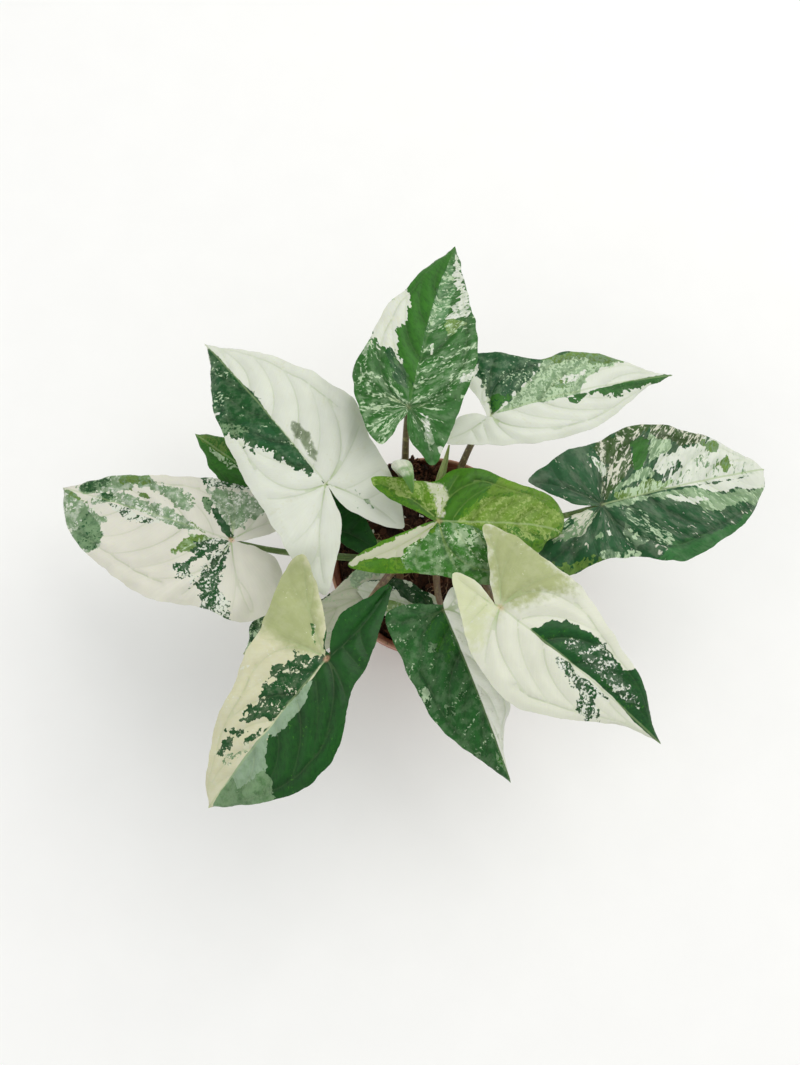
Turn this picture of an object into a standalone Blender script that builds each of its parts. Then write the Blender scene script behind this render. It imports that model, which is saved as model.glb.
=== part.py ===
"""Arrowhead plant (Syngonium) in a small nursery pot.

Metres, +Z up. The origin is the centre of the pot's foot, on the surface that it stands on.
Sizes below are in millimetres and become metres where a mesh is made. +Y is the back.
"""

import math

import bmesh
import bpy
import numpy as np
from mathutils.geometry import delaunay_2d_cdt

MM = 0.001
GAP = 0.3               # air between two pieces that touch

# Pot
POT_HEIGHT = 68.0
RIM_RADIUS = 40.0
FOOT_RADIUS = 28.0
WALL = 1.2
POT_FLOOR = 1.8
LIP_HEIGHT = 7.0        # band round the rim
LIP_STEP = 1.2          # how far it steps out from the wall
FOOT_ROUND = 1.2
POT_SIDES = 48
ROUND_STEPS = 5         # points on each rounded edge
DRAIN_HOLES = 8
DRAIN_RADIUS = 1.7
DRAIN_CIRCLE = 17.0
DRAIN_SIDES = 8

# Soil
SOIL_LEVEL = 62.5
SOIL_CELL = 4.2         # spacing of the points on its rough top
SOIL_ROUGHNESS = 0.9    # height of its lumps from point to point, less by the wall
WALL_ROUGHNESS = 0.3
SOIL_LUMPS = 0.6        # height of its broad lumps
SOIL_SEED = 7
SOIL_ROOM = 0.6         # share of SOIL_CELL kept clear of the wall
HEAP = (-15.0, 29.0, 11.0, 6.5)     # x, y, radius and height of the soil heaped at the back
HOLE_DEPTH = 24.0       # how deep the stems stand
HOLE_SIDES = 9
HOLE_ABOVE = 12.0       # a hole is cut from this far above the soil

# Leaves
BLADE = 0.8             # thickness
MIDRIB = 0.8            # how far the midrib stands out below the blade
MIDRIB_HALF = 1.5
EDGE_STEP = 3.8         # spacing of points along a blade's edge
CELL = 6.2              # and inside it
RIB_STEP = 5.0          # and along the midrib, from RIB_START to RIB_END before the tip
RIB_START = 3.0
RIB_END = 5.0
EDGE_ROOM = 3.1         # points inside keep this clear of the edge,
RIB_ROOM = 2.1          # of the midrib's sides
JUNCTION_ROOM = 2.8     # and of the junction
NOTCH = 1.7             # the blade reaches this far behind the junction
BACK_REACH = 30.0       # distances at which a leaf's back, cup and wave have their full height
CUP_REACH = 20.0
WAVE_REACH = 18.0
FOLD_WIDTH = 3.0        # half width of the round bottom of the fold along the midrib
STEM_SIDES = 7
STEM_TOP = 1.0          # stem radius under the blade
STEM_FOOT = 1.6         # and at the soil
STEM_RINGS = 11         # rings of points from the soil to the blade
STEM_STAND = 2.5        # it stands straight up to this far above the soil


class Leaf:
    """One arrowhead leaf: a blade of three lobes on a stem.

    junction: where the stem meets the blade. heading: the way the midrib points, in degrees from +X.
    length: junction to tip in plan. slope: rise of the midrib at the junction. drop: height of the tip
    over the junction. sag: power with which the midrib bends down. back: heights that the left and right
    basal lobes gain 30 mm behind the junction. fold: rise of the sides by the midrib. cup: height gained
    20 mm to the side. roll: sideways tilt. wave: height, length and phase of the waves of the edge.
    left, right: the blade's outline from tip to junction, as (along, across) in plan, left positive.
    foot: where the stem stands in the soil. lean, swing, reach: upward angle, sideways turn from the
    heading and length of the stem's last bend. lift: how far it rises straight before it bends over.
    """

    def __init__(self, name, junction, heading, length, left, right, foot, slope=0.0, drop=-16.0, sag=2.0,
                 back=(0.0, 0.0), fold=0.1, cup=-1.5, roll=0.0, wave=(0.7, 21.0, 0.0), lean=55.0, swing=0.0,
                 reach=16.0, lift=0.5, colour=(0.08, 0.2, 0.05)):
        self.name = name
        self.junction = np.array(junction, float)
        self.heading = math.radians(heading)
        self.length = length
        self.left = left
        self.right = right
        self.foot = foot
        self.slope = slope
        self.drop = drop
        self.sag = sag
        self.back = back
        self.fold = fold
        self.cup = cup
        self.roll = roll
        self.wave = wave
        self.lean = math.radians(lean)
        self.swing = math.radians(swing)
        self.reach = reach
        self.lift = lift
        self.colour = colour


GREEN = (0.03, 0.11, 0.025)
MOTTLED = (0.09, 0.21, 0.07)
BRIGHT = (0.12, 0.27, 0.02)
WHITE = (0.62, 0.66, 0.50)
CREAM = (0.52, 0.57, 0.30)

LEAVES = [
    Leaf(
        "leaf_top", junction=(-9, 38, 134), heading=75.5, length=70, slope=0.12, drop=-14, fold=0.14,
        cup=-2.5, foot=(-10, 27), lean=75, colour=MOTTLED,
        left=[(64, 3), (54, 8.8), (45, 12), (36, 16.5), (24, 19), (8, 21.8), (-3, 17.4), (-9, 13.5),
              (-15, 6.6), (-11, 2.8), (-6, 1.3)],
        right=[(63, -3.6), (55, -6.6), (46, -10.6), (35, -15.8), (22, -18.9), (4, -17.6), (-9, -15.8),
               (-18, -13.2), (-14, -7), (-10, -2.6), (-5, -0.7)]),
    Leaf(
        "leaf_upper_right", junction=(21, 41.5, 116), heading=18.5, length=77, slope=-0.05, drop=-24,
        fold=0.1, cup=-2.0, roll=0.05, foot=(10, 27), lean=70, colour=MOTTLED,
        left=[(66, 3.8), (57, 8.8), (48, 13), (37, 15.9), (26, 15.2), (15, 19.8), (4, 24.2), (-4, 22.6),
              (-4.6, 15), (-2, 4)],
        right=[(64, -3.4), (53, -8.4), (44, -12.3), (33, -15.2), (20, -15.4), (8, -14), (-3, -11), (-12, -8),
               (-19, -4.8), (-13, 1.6), (-6, 2.2)]),
    Leaf(
        "leaf_right", junction=(61, 9.5, 110), heading=16, length=69, slope=-0.1, drop=-20, fold=0.08,
        cup=-2.0, roll=0.1, back=(2, -4), foot=(21, 6), lean=30, reach=24, lift=0.8, colour=MOTTLED,
        left=[(65, 4.6), (54, 12.8), (46, 18), (37, 21.8), (26, 26), (16, 25.2), (6, 23), (-5, 22.3),
              (-15, 19.2), (-24, 14.8), (-18, 8.4), (-9, 2.2)],
        right=[(67, -6.5), (61, -12.8), (53, -18.8), (42, -22.8), (29, -26.4), (18, -25.4), (6, -21),
               (-7, -19.6), (-20, -21.2), (-32, -17.8), (-25, -8.6), (-14, -1.8), (-7, -0.6)]),
    Leaf(
        "leaf_centre", junction=(1.5, -1, 128), heading=-2, length=44, slope=0.02, drop=-13, sag=6.0,
        fold=0.12, cup=-2.0, foot=(2, 4), lean=80, colour=BRIGHT,
        left=[(45.6, 3.4), (45.4, 7.6), (42, 10.6), (36, 12.6), (28, 13.8), (19.5, 17.2), (11, 19.2),
              (4.5, 18.3), (-1.5, 14), (-8, 13.8), (-16, 14.8), (-23.8, 14.4), (-19, 8.2), (-10, 4.1)],
        right=[(41.4, -2.4), (38, -4.8), (35, -8.6), (29, -14.8), (23, -19.4), (16, -21.8), (6, -20),
               (-5, -18.6), (-17, -18.8), (-30, -17), (-25, -11.2), (-14, -5.2), (-6, -1.6)]),
    Leaf(
        "leaf_upper_left", junction=(-38, 15, 118), heading=129, length=77, slope=0.06, drop=-16, fold=0.1,
        cup=-1.5, foot=(-14, 14), lean=25, reach=17, lift=0.8, colour=WHITE,
        left=[(68, 3.4), (58, 9.6), (48, 14.8), (37, 17.8), (23, 20.8), (8, 23), (-7, 25), (-20, 26.3),
              (-31, 24.8), (-24, 14.5), (-15, 4.8), (-6, 1.4)],
        right=[(69, -5), (60, -11.6), (50, -17.2), (38, -22.3), (26, -26), (15, -27.2), (3, -22.8),
               (-12, -20.2), (-24, -15.2), (-29.5, -10.6), (-19, -3.2), (-9, 0.3)]),
    Leaf(
        "leaf_left", junction=(-74, -1, 98), heading=161, length=71.5, slope=0.04, drop=-12, fold=0.08,
        cup=-1.2, foot=(-22, -3), lean=18, reach=20, colour=WHITE,
        left=[(67.6, 8), (60.5, 16), (51, 21.4), (38, 26), (25, 29.7), (13, 29.4), (1, 26.8), (-10, 28),
              (-19, 24.5), (-25, 14), (-20, 2.6), (-10, -0.6)],
        right=[(64, -4), (50, -10.8), (38, -14), (26, -17.3), (14, -20), (2, -21), (-8, -19.5),
               (-16.6, -13.5), (-12.5, -6.6), (-6, -2.6)]),
    Leaf(
        "leaf_back_left", junction=(-41.5, 5, 96), heading=142, length=64, slope=0.02, drop=-11, fold=0.1,
        cup=-1.2, foot=(-17, 3), lean=45, reach=12, colour=GREEN,
        left=[(53, 5.6), (44, 9), (33, 11.2), (21, 11), (9, 10), (-3, 12), (-13, 9.5), (-9, 3.8), (-5, 1.4)],
        right=[(59, -2.8), (51, -6.4), (42, -11.6), (31, -15.2), (18, -16.6), (4, -15.5), (-8, -13.5),
               (-21.5, -7), (-18, -0.6), (-8, 0)]),
    Leaf(
        "leaf_front_left", junction=(-36.5, -47.5, 124), heading=-130, length=64, slope=0.04, drop=-20,
        fold=0.12, cup=-2.0, back=(-1, 2), foot=(-12, -8.5), lean=25, reach=18, lift=1.0, colour=CREAM,
        left=[(57, 7.4), (50, 13.6), (42, 19.8), (32, 23), (22, 22.8), (12, 18.4), (3, 13.6), (-8, 11.4),
              (-21, 6.4), (-33, 0.7), (-24, -3), (-14, -6), (-6, -3.4)],
        right=[(58, -6), (51, -9.8), (40, -15.6), (28, -18.6), (15, -22.4), (0, -26), (-13, -31),
               (-21.5, -29.5), (-18, -21), (-12.5, -12.8), (-7.4, -6.4), (-2.6, -2.8)]),
    Leaf(
        "leaf_front", junction=(3, -30, 118), heading=-67.5, length=63, slope=0.0, drop=-22, fold=0.1,
        cup=-2.0, foot=(2, -7), lean=60, reach=14, colour=GREEN,
        left=[(58, 0.9), (51, 2), (44, 5), (38, 9.6), (28, 12.6), (17, 13), (7, 11.5), (-2, 9), (-6, 6),
              (-4, 2.4)],
        right=[(52, -7.2), (43.5, -13), (33, -17.5), (21, -19.2), (9, -20), (-1, -20.2), (-6.6, -18.5),
               (-6, -10.5), (-3.6, -4)]),
    Leaf(
        "leaf_front_right", junction=(21, -32, 136), heading=-37.5, length=71, slope=0.0, drop=-26,
        fold=0.1, cup=-2.0, foot=(17, -10), lean=62, reach=18, swing=-30, colour=CREAM,
        left=[(64, 3.5), (58, 8.2), (50, 12.4), (41, 14.9), (31, 17.9), (21, 21.6), (10, 22.6), (-4, 22.2),
              (-14, 21.6), (-21, 19), (-14, 12), (-7, 4)],
        right=[(64, -1.6), (54, -5.6), (40, -14.8), (28, -21), (18, -22.9), (8, -20.8), (-3, -15),
               (-10, -8.8), (-19, -0.8), (-13, 2), (-6, 0.7)]),
    Leaf(
        "leaf_under", junction=(-24, -19, 86), heading=-155, length=52, slope=0.0, drop=-6, fold=0.06,
        cup=-1.0, foot=(-18.5, -8.5), lean=60, reach=9, colour=WHITE,
        left=[(47, 7.5), (36, 11.4), (23, 12.4), (10, 11.5), (-2, 10), (-9, 6.6), (-7, 2.4)],
        right=[(48, -3.8), (44, -9.2), (34, -8.6), (24, -6.4), (15, -5.8), (7, -8.4), (-1, -10.4), (-9, -9),
               (-12, -5), (-7, -0.8)]),
    Leaf(
        "leaf_small", junction=(-1.5, -25.5, 92), heading=164, length=28, slope=0.0, drop=-3, fold=0.08,
        cup=-1.0, foot=(-4, -16), lean=70, reach=8, wave=(0.4, 14.0, 0.0), colour=MOTTLED,
        left=[(24, 3.2), (18, 5.8), (10, 8.8), (2, 9.8), (-4, 7.8), (-5, 3)],
        right=[(25, -3.8), (20, -6), (14, -7.8), (8, -7.4), (3.5, -6), (-2, -5), (-4.5, -2.4)]),
]

# The next leaf, still rolled, and a young one that is only half unrolled:
# points of their middle lines, each with its half width and half depth there
SPEAR_PATH = [
    ((3, 24, 66), 1.5, 1.4), ((3.2, 25, 74), 1.9, 1.6), ((4.2, 28, 83), 1.7, 1.3), ((5.6, 32, 91), 1.0, 0.8),
    ((6.6, 35.5, 98), 0.3, 0.3),
]
CURL_PATH = [
    ((-10, 22, 67), 1.5, 1.4), ((-10.2, 22.5, 85), 1.2, 1.2), ((-10.8, 22.2, 100), 1.4, 1.3),
    ((-11.2, 21, 113), 2.2, 1.7), ((-11.6, 19, 126), 3.3, 2.0), ((-11, 16.6, 134.5), 3.4, 1.9),
    ((-9.4, 13, 137.4), 2.4, 1.5), ((-8.2, 9.6, 135.6), 1.2, 0.9), ((-7.6, 7.6, 132.8), 0.35, 0.35),
]
ROLL_SIDES = 10
ROLL_STEP = 5.0
ROLL_GROOVE = 0.3       # depth of the groove where the rolled edges meet, as a share of the half depth

CREASE = math.radians(50)           # edges sharper than this are shaded sharp
LEAF_ROUGHNESS = 0.45
POT_COLOUR = (0.19, 0.075, 0.042)
POT_ROUGHNESS = 0.5
SOIL_COLOUR = (0.022, 0.012, 0.007)
DRY_ROUGHNESS = 0.95
SPEAR_COLOUR = (0.2, 0.3, 0.09)
CURL_COLOUR = (0.35, 0.45, 0.25)


def material(name, colour, roughness):
    made = bpy.data.materials.new(name)
    made.use_nodes = True
    shader = made.node_tree.nodes["Principled BSDF"]
    shader.inputs["Base Color"].default_value = (*colour, 1.0)
    shader.inputs["Roughness"].default_value = roughness
    shader.inputs["Metallic"].default_value = 0.0
    return made


def add_object(name, points, faces, finish):
    """A named object from points in millimetres, with its faces turned outwards."""
    mesh = bpy.data.meshes.new(name)
    mesh.from_pydata([tuple(float(c) * MM for c in p) for p in points], [], faces)
    shell = bmesh.new()
    shell.from_mesh(mesh)
    bmesh.ops.recalc_face_normals(shell, faces=shell.faces)
    shell.to_mesh(mesh)
    shell.free()
    mesh.shade_smooth()
    mesh.set_sharp_from_angle(angle=CREASE)
    if finish is not None:
        mesh.materials.append(finish)
    made = bpy.data.objects.new(name, mesh)
    bpy.context.scene.collection.objects.link(made)
    return made


def smooth_curve(points, step):
    """Points about a step apart on a smooth curve through the given ones."""
    points = np.array(points, float)
    ends = np.vstack([2 * points[0] - points[1], points, 2 * points[-1] - points[-2]])
    out = [points[0]]
    for before, start, end, after in zip(ends, ends[1:], ends[2:], ends[3:]):
        count = max(1, round(float(np.linalg.norm(end - start)) / step))
        once = end - before
        twice = 2 * before - 5 * start + 4 * end - after
        thrice = 3 * start - before - 3 * end + after
        for t in np.arange(1, count + 1) / count:
            out.append(start + 0.5 * (once * t + twice * t ** 2 + thrice * t ** 3))
    return np.array(out)


def outline(leaf, step):
    """The blade's edge in plan, once round from its tip, left side first."""
    tip = (leaf.length, 0.0)
    notch = (-NOTCH, 0.0)
    left = smooth_curve([tip] + leaf.left + [notch], step)
    right = smooth_curve([tip] + leaf.right + [notch], step)
    return np.vstack([left, right[-2:0:-1]])


def rise(leaf, u, v):
    """Height of the blade's middle over its junction, at u along the midrib and v to the left of it."""
    ahead = np.maximum(u, 0.0) / leaf.length
    behind = np.minimum(u, 0.0) / BACK_REACH
    back = np.where(v > 0, leaf.back[0], leaf.back[1])
    height, length, phase = leaf.wave
    midrib = leaf.slope * u + (leaf.drop - leaf.slope * leaf.length) * ahead ** leaf.sag + back * behind ** 2
    fold = leaf.fold * (np.sqrt(v * v + FOLD_WIDTH ** 2) - FOLD_WIDTH)
    sides = leaf.roll * v + fold + leaf.cup * (v / CUP_REACH) ** 2
    turn = 2 * math.pi * (u - 0.5 * np.abs(v)) / length + phase + (v > 0)
    return midrib + sides + height * np.sin(turn) * (v / WAVE_REACH) ** 2


def lifted(leaf, plan):
    """Points of the blade's middle surface over plan points, and its normals, beside the junction."""
    u, v = plan[:, 0], plan[:, 1]
    small = 0.05
    along = (rise(leaf, u + small, v) - rise(leaf, u - small, v)) / (2 * small)
    across = (rise(leaf, u, v + small) - rise(leaf, u, v - small)) / (2 * small)
    normals = np.column_stack([-along, -across, np.ones(len(u))])
    normals /= np.linalg.norm(normals, axis=1)[:, None]
    return np.column_stack([u, v, rise(leaf, u, v)]), normals


def placed(leaf, points):
    """Points given beside the junction, turned to the leaf's heading and moved to its place."""
    c, s = math.cos(leaf.heading), math.sin(leaf.heading)
    turn = np.array([[c, -s, 0], [s, c, 0], [0, 0, 1]])
    return points @ turn.T + leaf.junction


def inside(points, ring):
    """Which points lie inside a ring, and how far each is from it."""
    a = ring
    b = np.roll(ring, -1, axis=0)
    px, py = points[:, 0][:, None], points[:, 1][:, None]
    crosses = (a[:, 1] > py) != (b[:, 1] > py)
    slope = np.where(b[:, 1] == a[:, 1], 1e-9, b[:, 1] - a[:, 1])
    left_of = px < (b[:, 0] - a[:, 0]) * (py - a[:, 1]) / slope + a[:, 0]
    within = (crosses & left_of).sum(axis=1) % 2 == 1
    edge = b - a
    t = ((px - a[:, 0]) * edge[:, 0] + (py - a[:, 1]) * edge[:, 1]) / (edge ** 2).sum(axis=1)
    t = np.clip(t, 0, 1)
    distance = np.hypot(px - a[:, 0] - t * edge[:, 0], py - a[:, 1] - t * edge[:, 1]).min(axis=1)
    return within, distance


def honeycomb(low, high, cell):
    """Staggered points over a rectangle."""
    rows = []
    for n, y in enumerate(np.arange(low[1], high[1] + cell, cell * math.sqrt(0.75))):
        xs = np.arange(low[0], high[0] + cell, cell) + (n % 2) * cell / 2
        rows.append(np.column_stack([xs, np.full(len(xs), y)]))
    return np.vstack(rows)


def triangulated(ring, inner):
    """Triangles that fill a ring and use the inner points: plan points and index triples."""
    points = [tuple(map(float, p)) for p in np.vstack([ring, inner])]
    result = delaunay_2d_cdt(points, [], [list(range(len(ring)))], 1, 1e-5)
    return np.array([tuple(p) for p in result[0]]), [tuple(f) for f in result[2]]


def border(triangles):
    """The edges that only one triangle has, in that triangle's direction."""
    directed = {(a, b) for t in triangles for a, b in zip(t, t[1:] + t[:1])}
    return [(a, b) for a, b in directed if (b, a) not in directed]


def blade(leaf):
    """Points and faces of the closed blade, the same triangles above and below."""
    ring = outline(leaf, EDGE_STEP)
    rib = np.arange(RIB_START, leaf.length - RIB_END, RIB_STEP)
    ribs = [(0.0, 0.0)] + [(u, v) for u in rib for v in (-MIDRIB_HALF, 0.0, MIDRIB_HALF)]
    fill = honeycomb(ring.min(axis=0), ring.max(axis=0), CELL)
    within, distance = inside(fill, ring)
    off_rib = (np.abs(fill[:, 1]) > MIDRIB_HALF + RIB_ROOM) | (fill[:, 0] < 0)
    off_junction = np.hypot(fill[:, 0], fill[:, 1]) > JUNCTION_ROOM
    fill = fill[within & (distance > EDGE_ROOM) & off_rib & off_junction]
    plan, triangles = triangulated(ring, np.vstack([ribs, fill]))
    middle, normals = lifted(leaf, plan)
    keel = MIDRIB * np.clip(1 - np.abs(plan[:, 1]) / MIDRIB_HALF, 0, 1)
    keel *= np.clip((leaf.length - plan[:, 0]) / leaf.length, 0, 1) * (plan[:, 0] >= 0)
    above = middle + normals * BLADE / 2
    below = middle - normals * (BLADE / 2 + keel)[:, None]
    count = len(plan)
    faces = list(triangles)
    faces += [(c + count, b + count, a + count) for a, b, c in triangles]
    for a, b in border(triangles):
        faces += [(b, a, a + count), (b, a + count, b + count)]
    return placed(leaf, np.vstack([above, below])), faces


def soil_top(x, y):
    """Height of the soil's rough top."""
    hx, hy, spread, heap = HEAP
    heaped = heap * np.exp(-((x - hx) ** 2 + (y - hy) ** 2) / spread ** 2)
    lumps = np.sin(0.43 * x + 1.1) * np.sin(0.37 * y - 0.4) + 0.5 * np.sin(0.9 * x - 0.7 * y)
    return SOIL_LEVEL + heaped + SOIL_LUMPS * lumps


def bezier(a, b, c, d, count):
    t = np.linspace(0, 1, count)[:, None]
    return (1 - t) ** 3 * a + 3 * (1 - t) ** 2 * t * b + 3 * (1 - t) * t ** 2 * c + t ** 3 * d


def stem_path(leaf):
    """Middle line of a stem: straight up out of its hole, then bent over to the junction."""
    x, y = leaf.foot
    soil = float(soil_top(np.array(x), np.array(y)))
    start = np.array([x, y, soil + STEM_STAND])
    turned = leaf.heading + leaf.swing
    way = np.array([math.cos(turned), math.sin(turned), 0.0])
    arrive = way * math.cos(leaf.lean) + np.array([0, 0, math.sin(leaf.lean)])
    end = leaf.junction
    up = np.array([0, 0, leaf.lift * (end[2] - start[2])])
    bend = bezier(start, start + up, end - leaf.reach * arrive, end, STEM_RINGS)
    return np.vstack([[x, y, soil - HOLE_DEPTH], bend])


def tube(path, widths, sides, groove=0.0, facing=(0.0, -1.0, 0.0)):
    """Points and faces of a closed tube along a path, with its half width and half depth at each point."""
    path = np.array(path, float)
    ways = np.gradient(path, axis=0)
    ways /= np.linalg.norm(ways, axis=1)[:, None]
    front = np.array(facing, float)
    points = []
    for place, way, (wide, deep) in zip(path, ways, widths):
        front = front - way * (front @ way)
        front /= np.linalg.norm(front)
        side = np.cross(way, front)
        for n in range(sides):
            angle = 2 * math.pi * n / sides
            dent = 1 - groove * max(0.0, math.cos(angle)) ** 6
            points.append(place + wide * math.sin(angle) * side + deep * math.cos(angle) * dent * front)
    faces = []
    for ring in range(len(path) - 1):
        for n in range(sides):
            a, b = ring * sides + n, ring * sides + (n + 1) % sides
            faces.append((a, b, b + sides, a + sides))
    faces.append(tuple(range(sides)))
    faces.append(tuple(reversed(range(len(points) - sides, len(points)))))
    return points, faces


def applied(target, operation, other, solver="EXACT"):
    """Join another object to the target, or cut it out, and remove the other."""
    modifier = target.modifiers.new("joined", "BOOLEAN")
    modifier.operation = operation
    modifier.solver = solver
    modifier.object = other
    shape = bpy.data.meshes.new_from_object(target.evaluated_get(bpy.context.evaluated_depsgraph_get()))
    target.modifiers.clear()
    target.data = shape
    bpy.data.objects.remove(other)


def make_leaf(leaf):
    finish = material(leaf.name, leaf.colour, LEAF_ROUGHNESS)
    made = add_object(leaf.name, *blade(leaf), finish)
    radii = [STEM_FOOT, *np.linspace(STEM_FOOT, STEM_TOP, STEM_RINGS)]
    stem = tube(stem_path(leaf), [(r, r) for r in radii], STEM_SIDES)
    applied(made, "UNION", add_object("stem", *stem, finish))


def make_roll(name, stations, colour):
    """A leaf that is still rolled up, from its foot in the soil to its tip."""
    track = smooth_curve([(*place, wide, deep) for place, wide, deep in stations], ROLL_STEP)
    foot = track[0] - (0, 0, HOLE_DEPTH, 0, 0)
    track = np.vstack([foot, track])
    roll = tube(track[:, :3], track[:, 3:], ROLL_SIDES, ROLL_GROOVE)
    add_object(name, *roll, material(name, colour, LEAF_ROUGHNESS))


def wall_radius(z):
    """Outer radius of the pot's wall, under the lip."""
    return FOOT_RADIUS + (RIM_RADIUS - LIP_STEP - FOOT_RADIUS) * z / POT_HEIGHT


def rounded(corner, radius, start, end):
    """Points on an arc about (r, z), between two angles in degrees."""
    angles = [math.radians(a) for a in np.linspace(start, end, ROUND_STEPS)]
    return [(corner[0] + radius * math.cos(a), corner[1] + radius * math.sin(a)) for a in angles]


def make_pot():
    ledge = POT_HEIGHT - LIP_HEIGHT
    half = WALL / 2
    profile = rounded((FOOT_RADIUS - FOOT_ROUND, FOOT_ROUND), FOOT_ROUND, -90, 0)
    profile += [(wall_radius(ledge), ledge)]
    profile += rounded((RIM_RADIUS - half, ledge + half), half, -90, 0)
    profile += rounded((RIM_RADIUS - half, POT_HEIGHT - half), half, 0, 180)
    profile += rounded((RIM_RADIUS - WALL - half, ledge + WALL + half), half, 0, -90)
    profile += [(wall_radius(ledge) - WALL, ledge), (wall_radius(POT_FLOOR) - WALL, POT_FLOOR)]
    points = [(0, 0, 0), (0, 0, POT_FLOOR)]
    for n in range(POT_SIDES):
        angle = 2 * math.pi * n / POT_SIDES
        points += [(r * math.cos(angle), r * math.sin(angle), z) for r, z in profile]
    row = len(profile)
    faces = []
    for n in range(POT_SIDES):
        a = 2 + n * row
        b = 2 + (n + 1) % POT_SIDES * row
        faces += [(a + k, b + k, b + k + 1, a + k + 1) for k in range(row - 1)]
        faces += [(0, b, a), (1, a + row - 1, b + row - 1)]
    pot = add_object("pot", points, faces, material("pot", POT_COLOUR, POT_ROUGHNESS))
    for n in range(DRAIN_HOLES):
        angle = 2 * math.pi * (n + 0.5) / DRAIN_HOLES
        x, y = DRAIN_CIRCLE * math.cos(angle), DRAIN_CIRCLE * math.sin(angle)
        path = [(x, y, -1.0), (x, y, POT_FLOOR + 1.0)]
        hole = tube(path, [(DRAIN_RADIUS, DRAIN_RADIUS)] * 2, DRAIN_SIDES)
        applied(pot, "DIFFERENCE", add_object("drain", *hole, None))


def make_soil(feet):
    """Soil inside the pot, with a hole for each stem: feet lists their places."""
    inner = wall_radius(POT_HEIGHT - LIP_HEIGHT) - WALL - GAP
    turns = np.linspace(0, 2 * math.pi, POT_SIDES, endpoint=False)
    ring = inner * np.column_stack([np.cos(turns), np.sin(turns)])
    fill = honeycomb(ring.min(axis=0), ring.max(axis=0), SOIL_CELL)
    within, distance = inside(fill, ring)
    plan, triangles = triangulated(ring, fill[within & (distance > SOIL_ROOM * SOIL_CELL)])
    rough = np.random.default_rng(SOIL_SEED).uniform(-1, 1, len(plan)) * SOIL_ROUGHNESS
    rough[[a for a, b in border(triangles)]] *= WALL_ROUGHNESS / SOIL_ROUGHNESS
    points = list(np.column_stack([plan, soil_top(plan[:, 0], plan[:, 1]) + rough]))
    faces = list(triangles)
    count = len(points)
    low = POT_FLOOR + GAP
    shrink = (wall_radius(low) - WALL - GAP) / inner
    points += [(x * shrink, y * shrink, low) for x, y in plan]
    points.append((0.0, 0.0, low))
    for a, b in border(triangles):
        faces += [(b, a, a + count), (b, a + count, b + count), (b + count, a + count, 2 * count)]
    used = sorted({i for f in faces for i in f})
    renumber = {old: new for new, old in enumerate(used)}
    points = [points[i] for i in used]
    faces = [tuple(renumber[i] for i in f) for f in faces]
    soil = add_object("soil", points, faces, material("soil", SOIL_COLOUR, DRY_ROUGHNESS))
    radius = (STEM_FOOT + GAP) / math.cos(math.pi / HOLE_SIDES)
    for x, y in feet:
        level = float(soil_top(np.array(x), np.array(y)))
        path = [(x, y, level - HOLE_DEPTH - GAP), (x, y, level + HOLE_ABOVE)]
        hole = tube(path, [(radius, radius)] * 2, HOLE_SIDES)
        applied(soil, "DIFFERENCE", add_object("hole", *hole, None))


def main():
    for old in list(bpy.data.objects):
        bpy.data.objects.remove(old)
    for leaf in LEAVES:
        make_leaf(leaf)
    make_roll("new_spear", SPEAR_PATH, SPEAR_COLOUR)
    make_roll("leaf_curl", CURL_PATH, CURL_COLOUR)
    make_pot()
    make_soil([leaf.foot for leaf in LEAVES] + [path[0][0][:2] for path in (SPEAR_PATH, CURL_PATH)])


main()
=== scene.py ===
"""Looks of the potted arrowhead plant: leaves with veins and variegation, stems, soil and pot.

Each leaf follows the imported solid: the same outline and the same surface, with a finer mesh. Sizes are
in millimetres and become metres where a mesh is made. +Z is up and +Y is the back of the plant.
"""

import math
from statistics import NormalDist

import bmesh
import bpy
import numpy as np
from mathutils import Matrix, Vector, noise
from mathutils.geometry import delaunay_2d_cdt


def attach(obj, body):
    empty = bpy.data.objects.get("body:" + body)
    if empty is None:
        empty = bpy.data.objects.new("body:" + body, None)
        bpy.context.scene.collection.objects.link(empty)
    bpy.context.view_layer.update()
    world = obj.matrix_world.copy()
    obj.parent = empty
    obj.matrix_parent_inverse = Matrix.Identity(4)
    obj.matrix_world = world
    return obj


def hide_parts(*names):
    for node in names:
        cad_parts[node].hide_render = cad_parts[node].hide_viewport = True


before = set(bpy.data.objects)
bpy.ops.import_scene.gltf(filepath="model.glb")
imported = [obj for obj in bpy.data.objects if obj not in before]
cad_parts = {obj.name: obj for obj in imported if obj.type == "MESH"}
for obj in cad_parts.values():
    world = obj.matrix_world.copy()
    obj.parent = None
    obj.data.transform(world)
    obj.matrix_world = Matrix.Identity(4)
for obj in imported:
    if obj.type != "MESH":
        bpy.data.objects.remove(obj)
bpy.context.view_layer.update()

MM = 0.001
GAP = 0.3               # air between the soil and the pot

# Pot
POT_HEIGHT = 68.0
RIM_RADIUS = 40.0
FOOT_RADIUS = 28.0
WALL = 1.2
POT_FLOOR = 1.8
LIP_HEIGHT = 7.0        # band round the rim
LIP_STEP = 1.2          # how far it steps out from the wall
FOOT_ROUND = 1.2
POT_SIDES = 144
ROUND_STEPS = 7         # points on each rounded edge
WALL_START = 4.0        # points up the outside of the wall: the first one's height
WALL_STEP = 3.0         # and the spacing of the others
INSIDE_POINTS = 18      # points down its inside
DRAIN_HOLES = 8
DRAIN_RADIUS = 1.7
DRAIN_CIRCLE = 17.0
DRAIN_SIDES = 24

# Soil
SOIL_LEVEL = 62.5
SOIL_LUMPS = 0.6        # height of its broad lumps
HEAP = (-15.0, 29.0, 11.0, 6.5)     # x, y, radius and height of the soil heaped at the back
HOLE_DEPTH = 24.0       # how deep the stems stand

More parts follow.
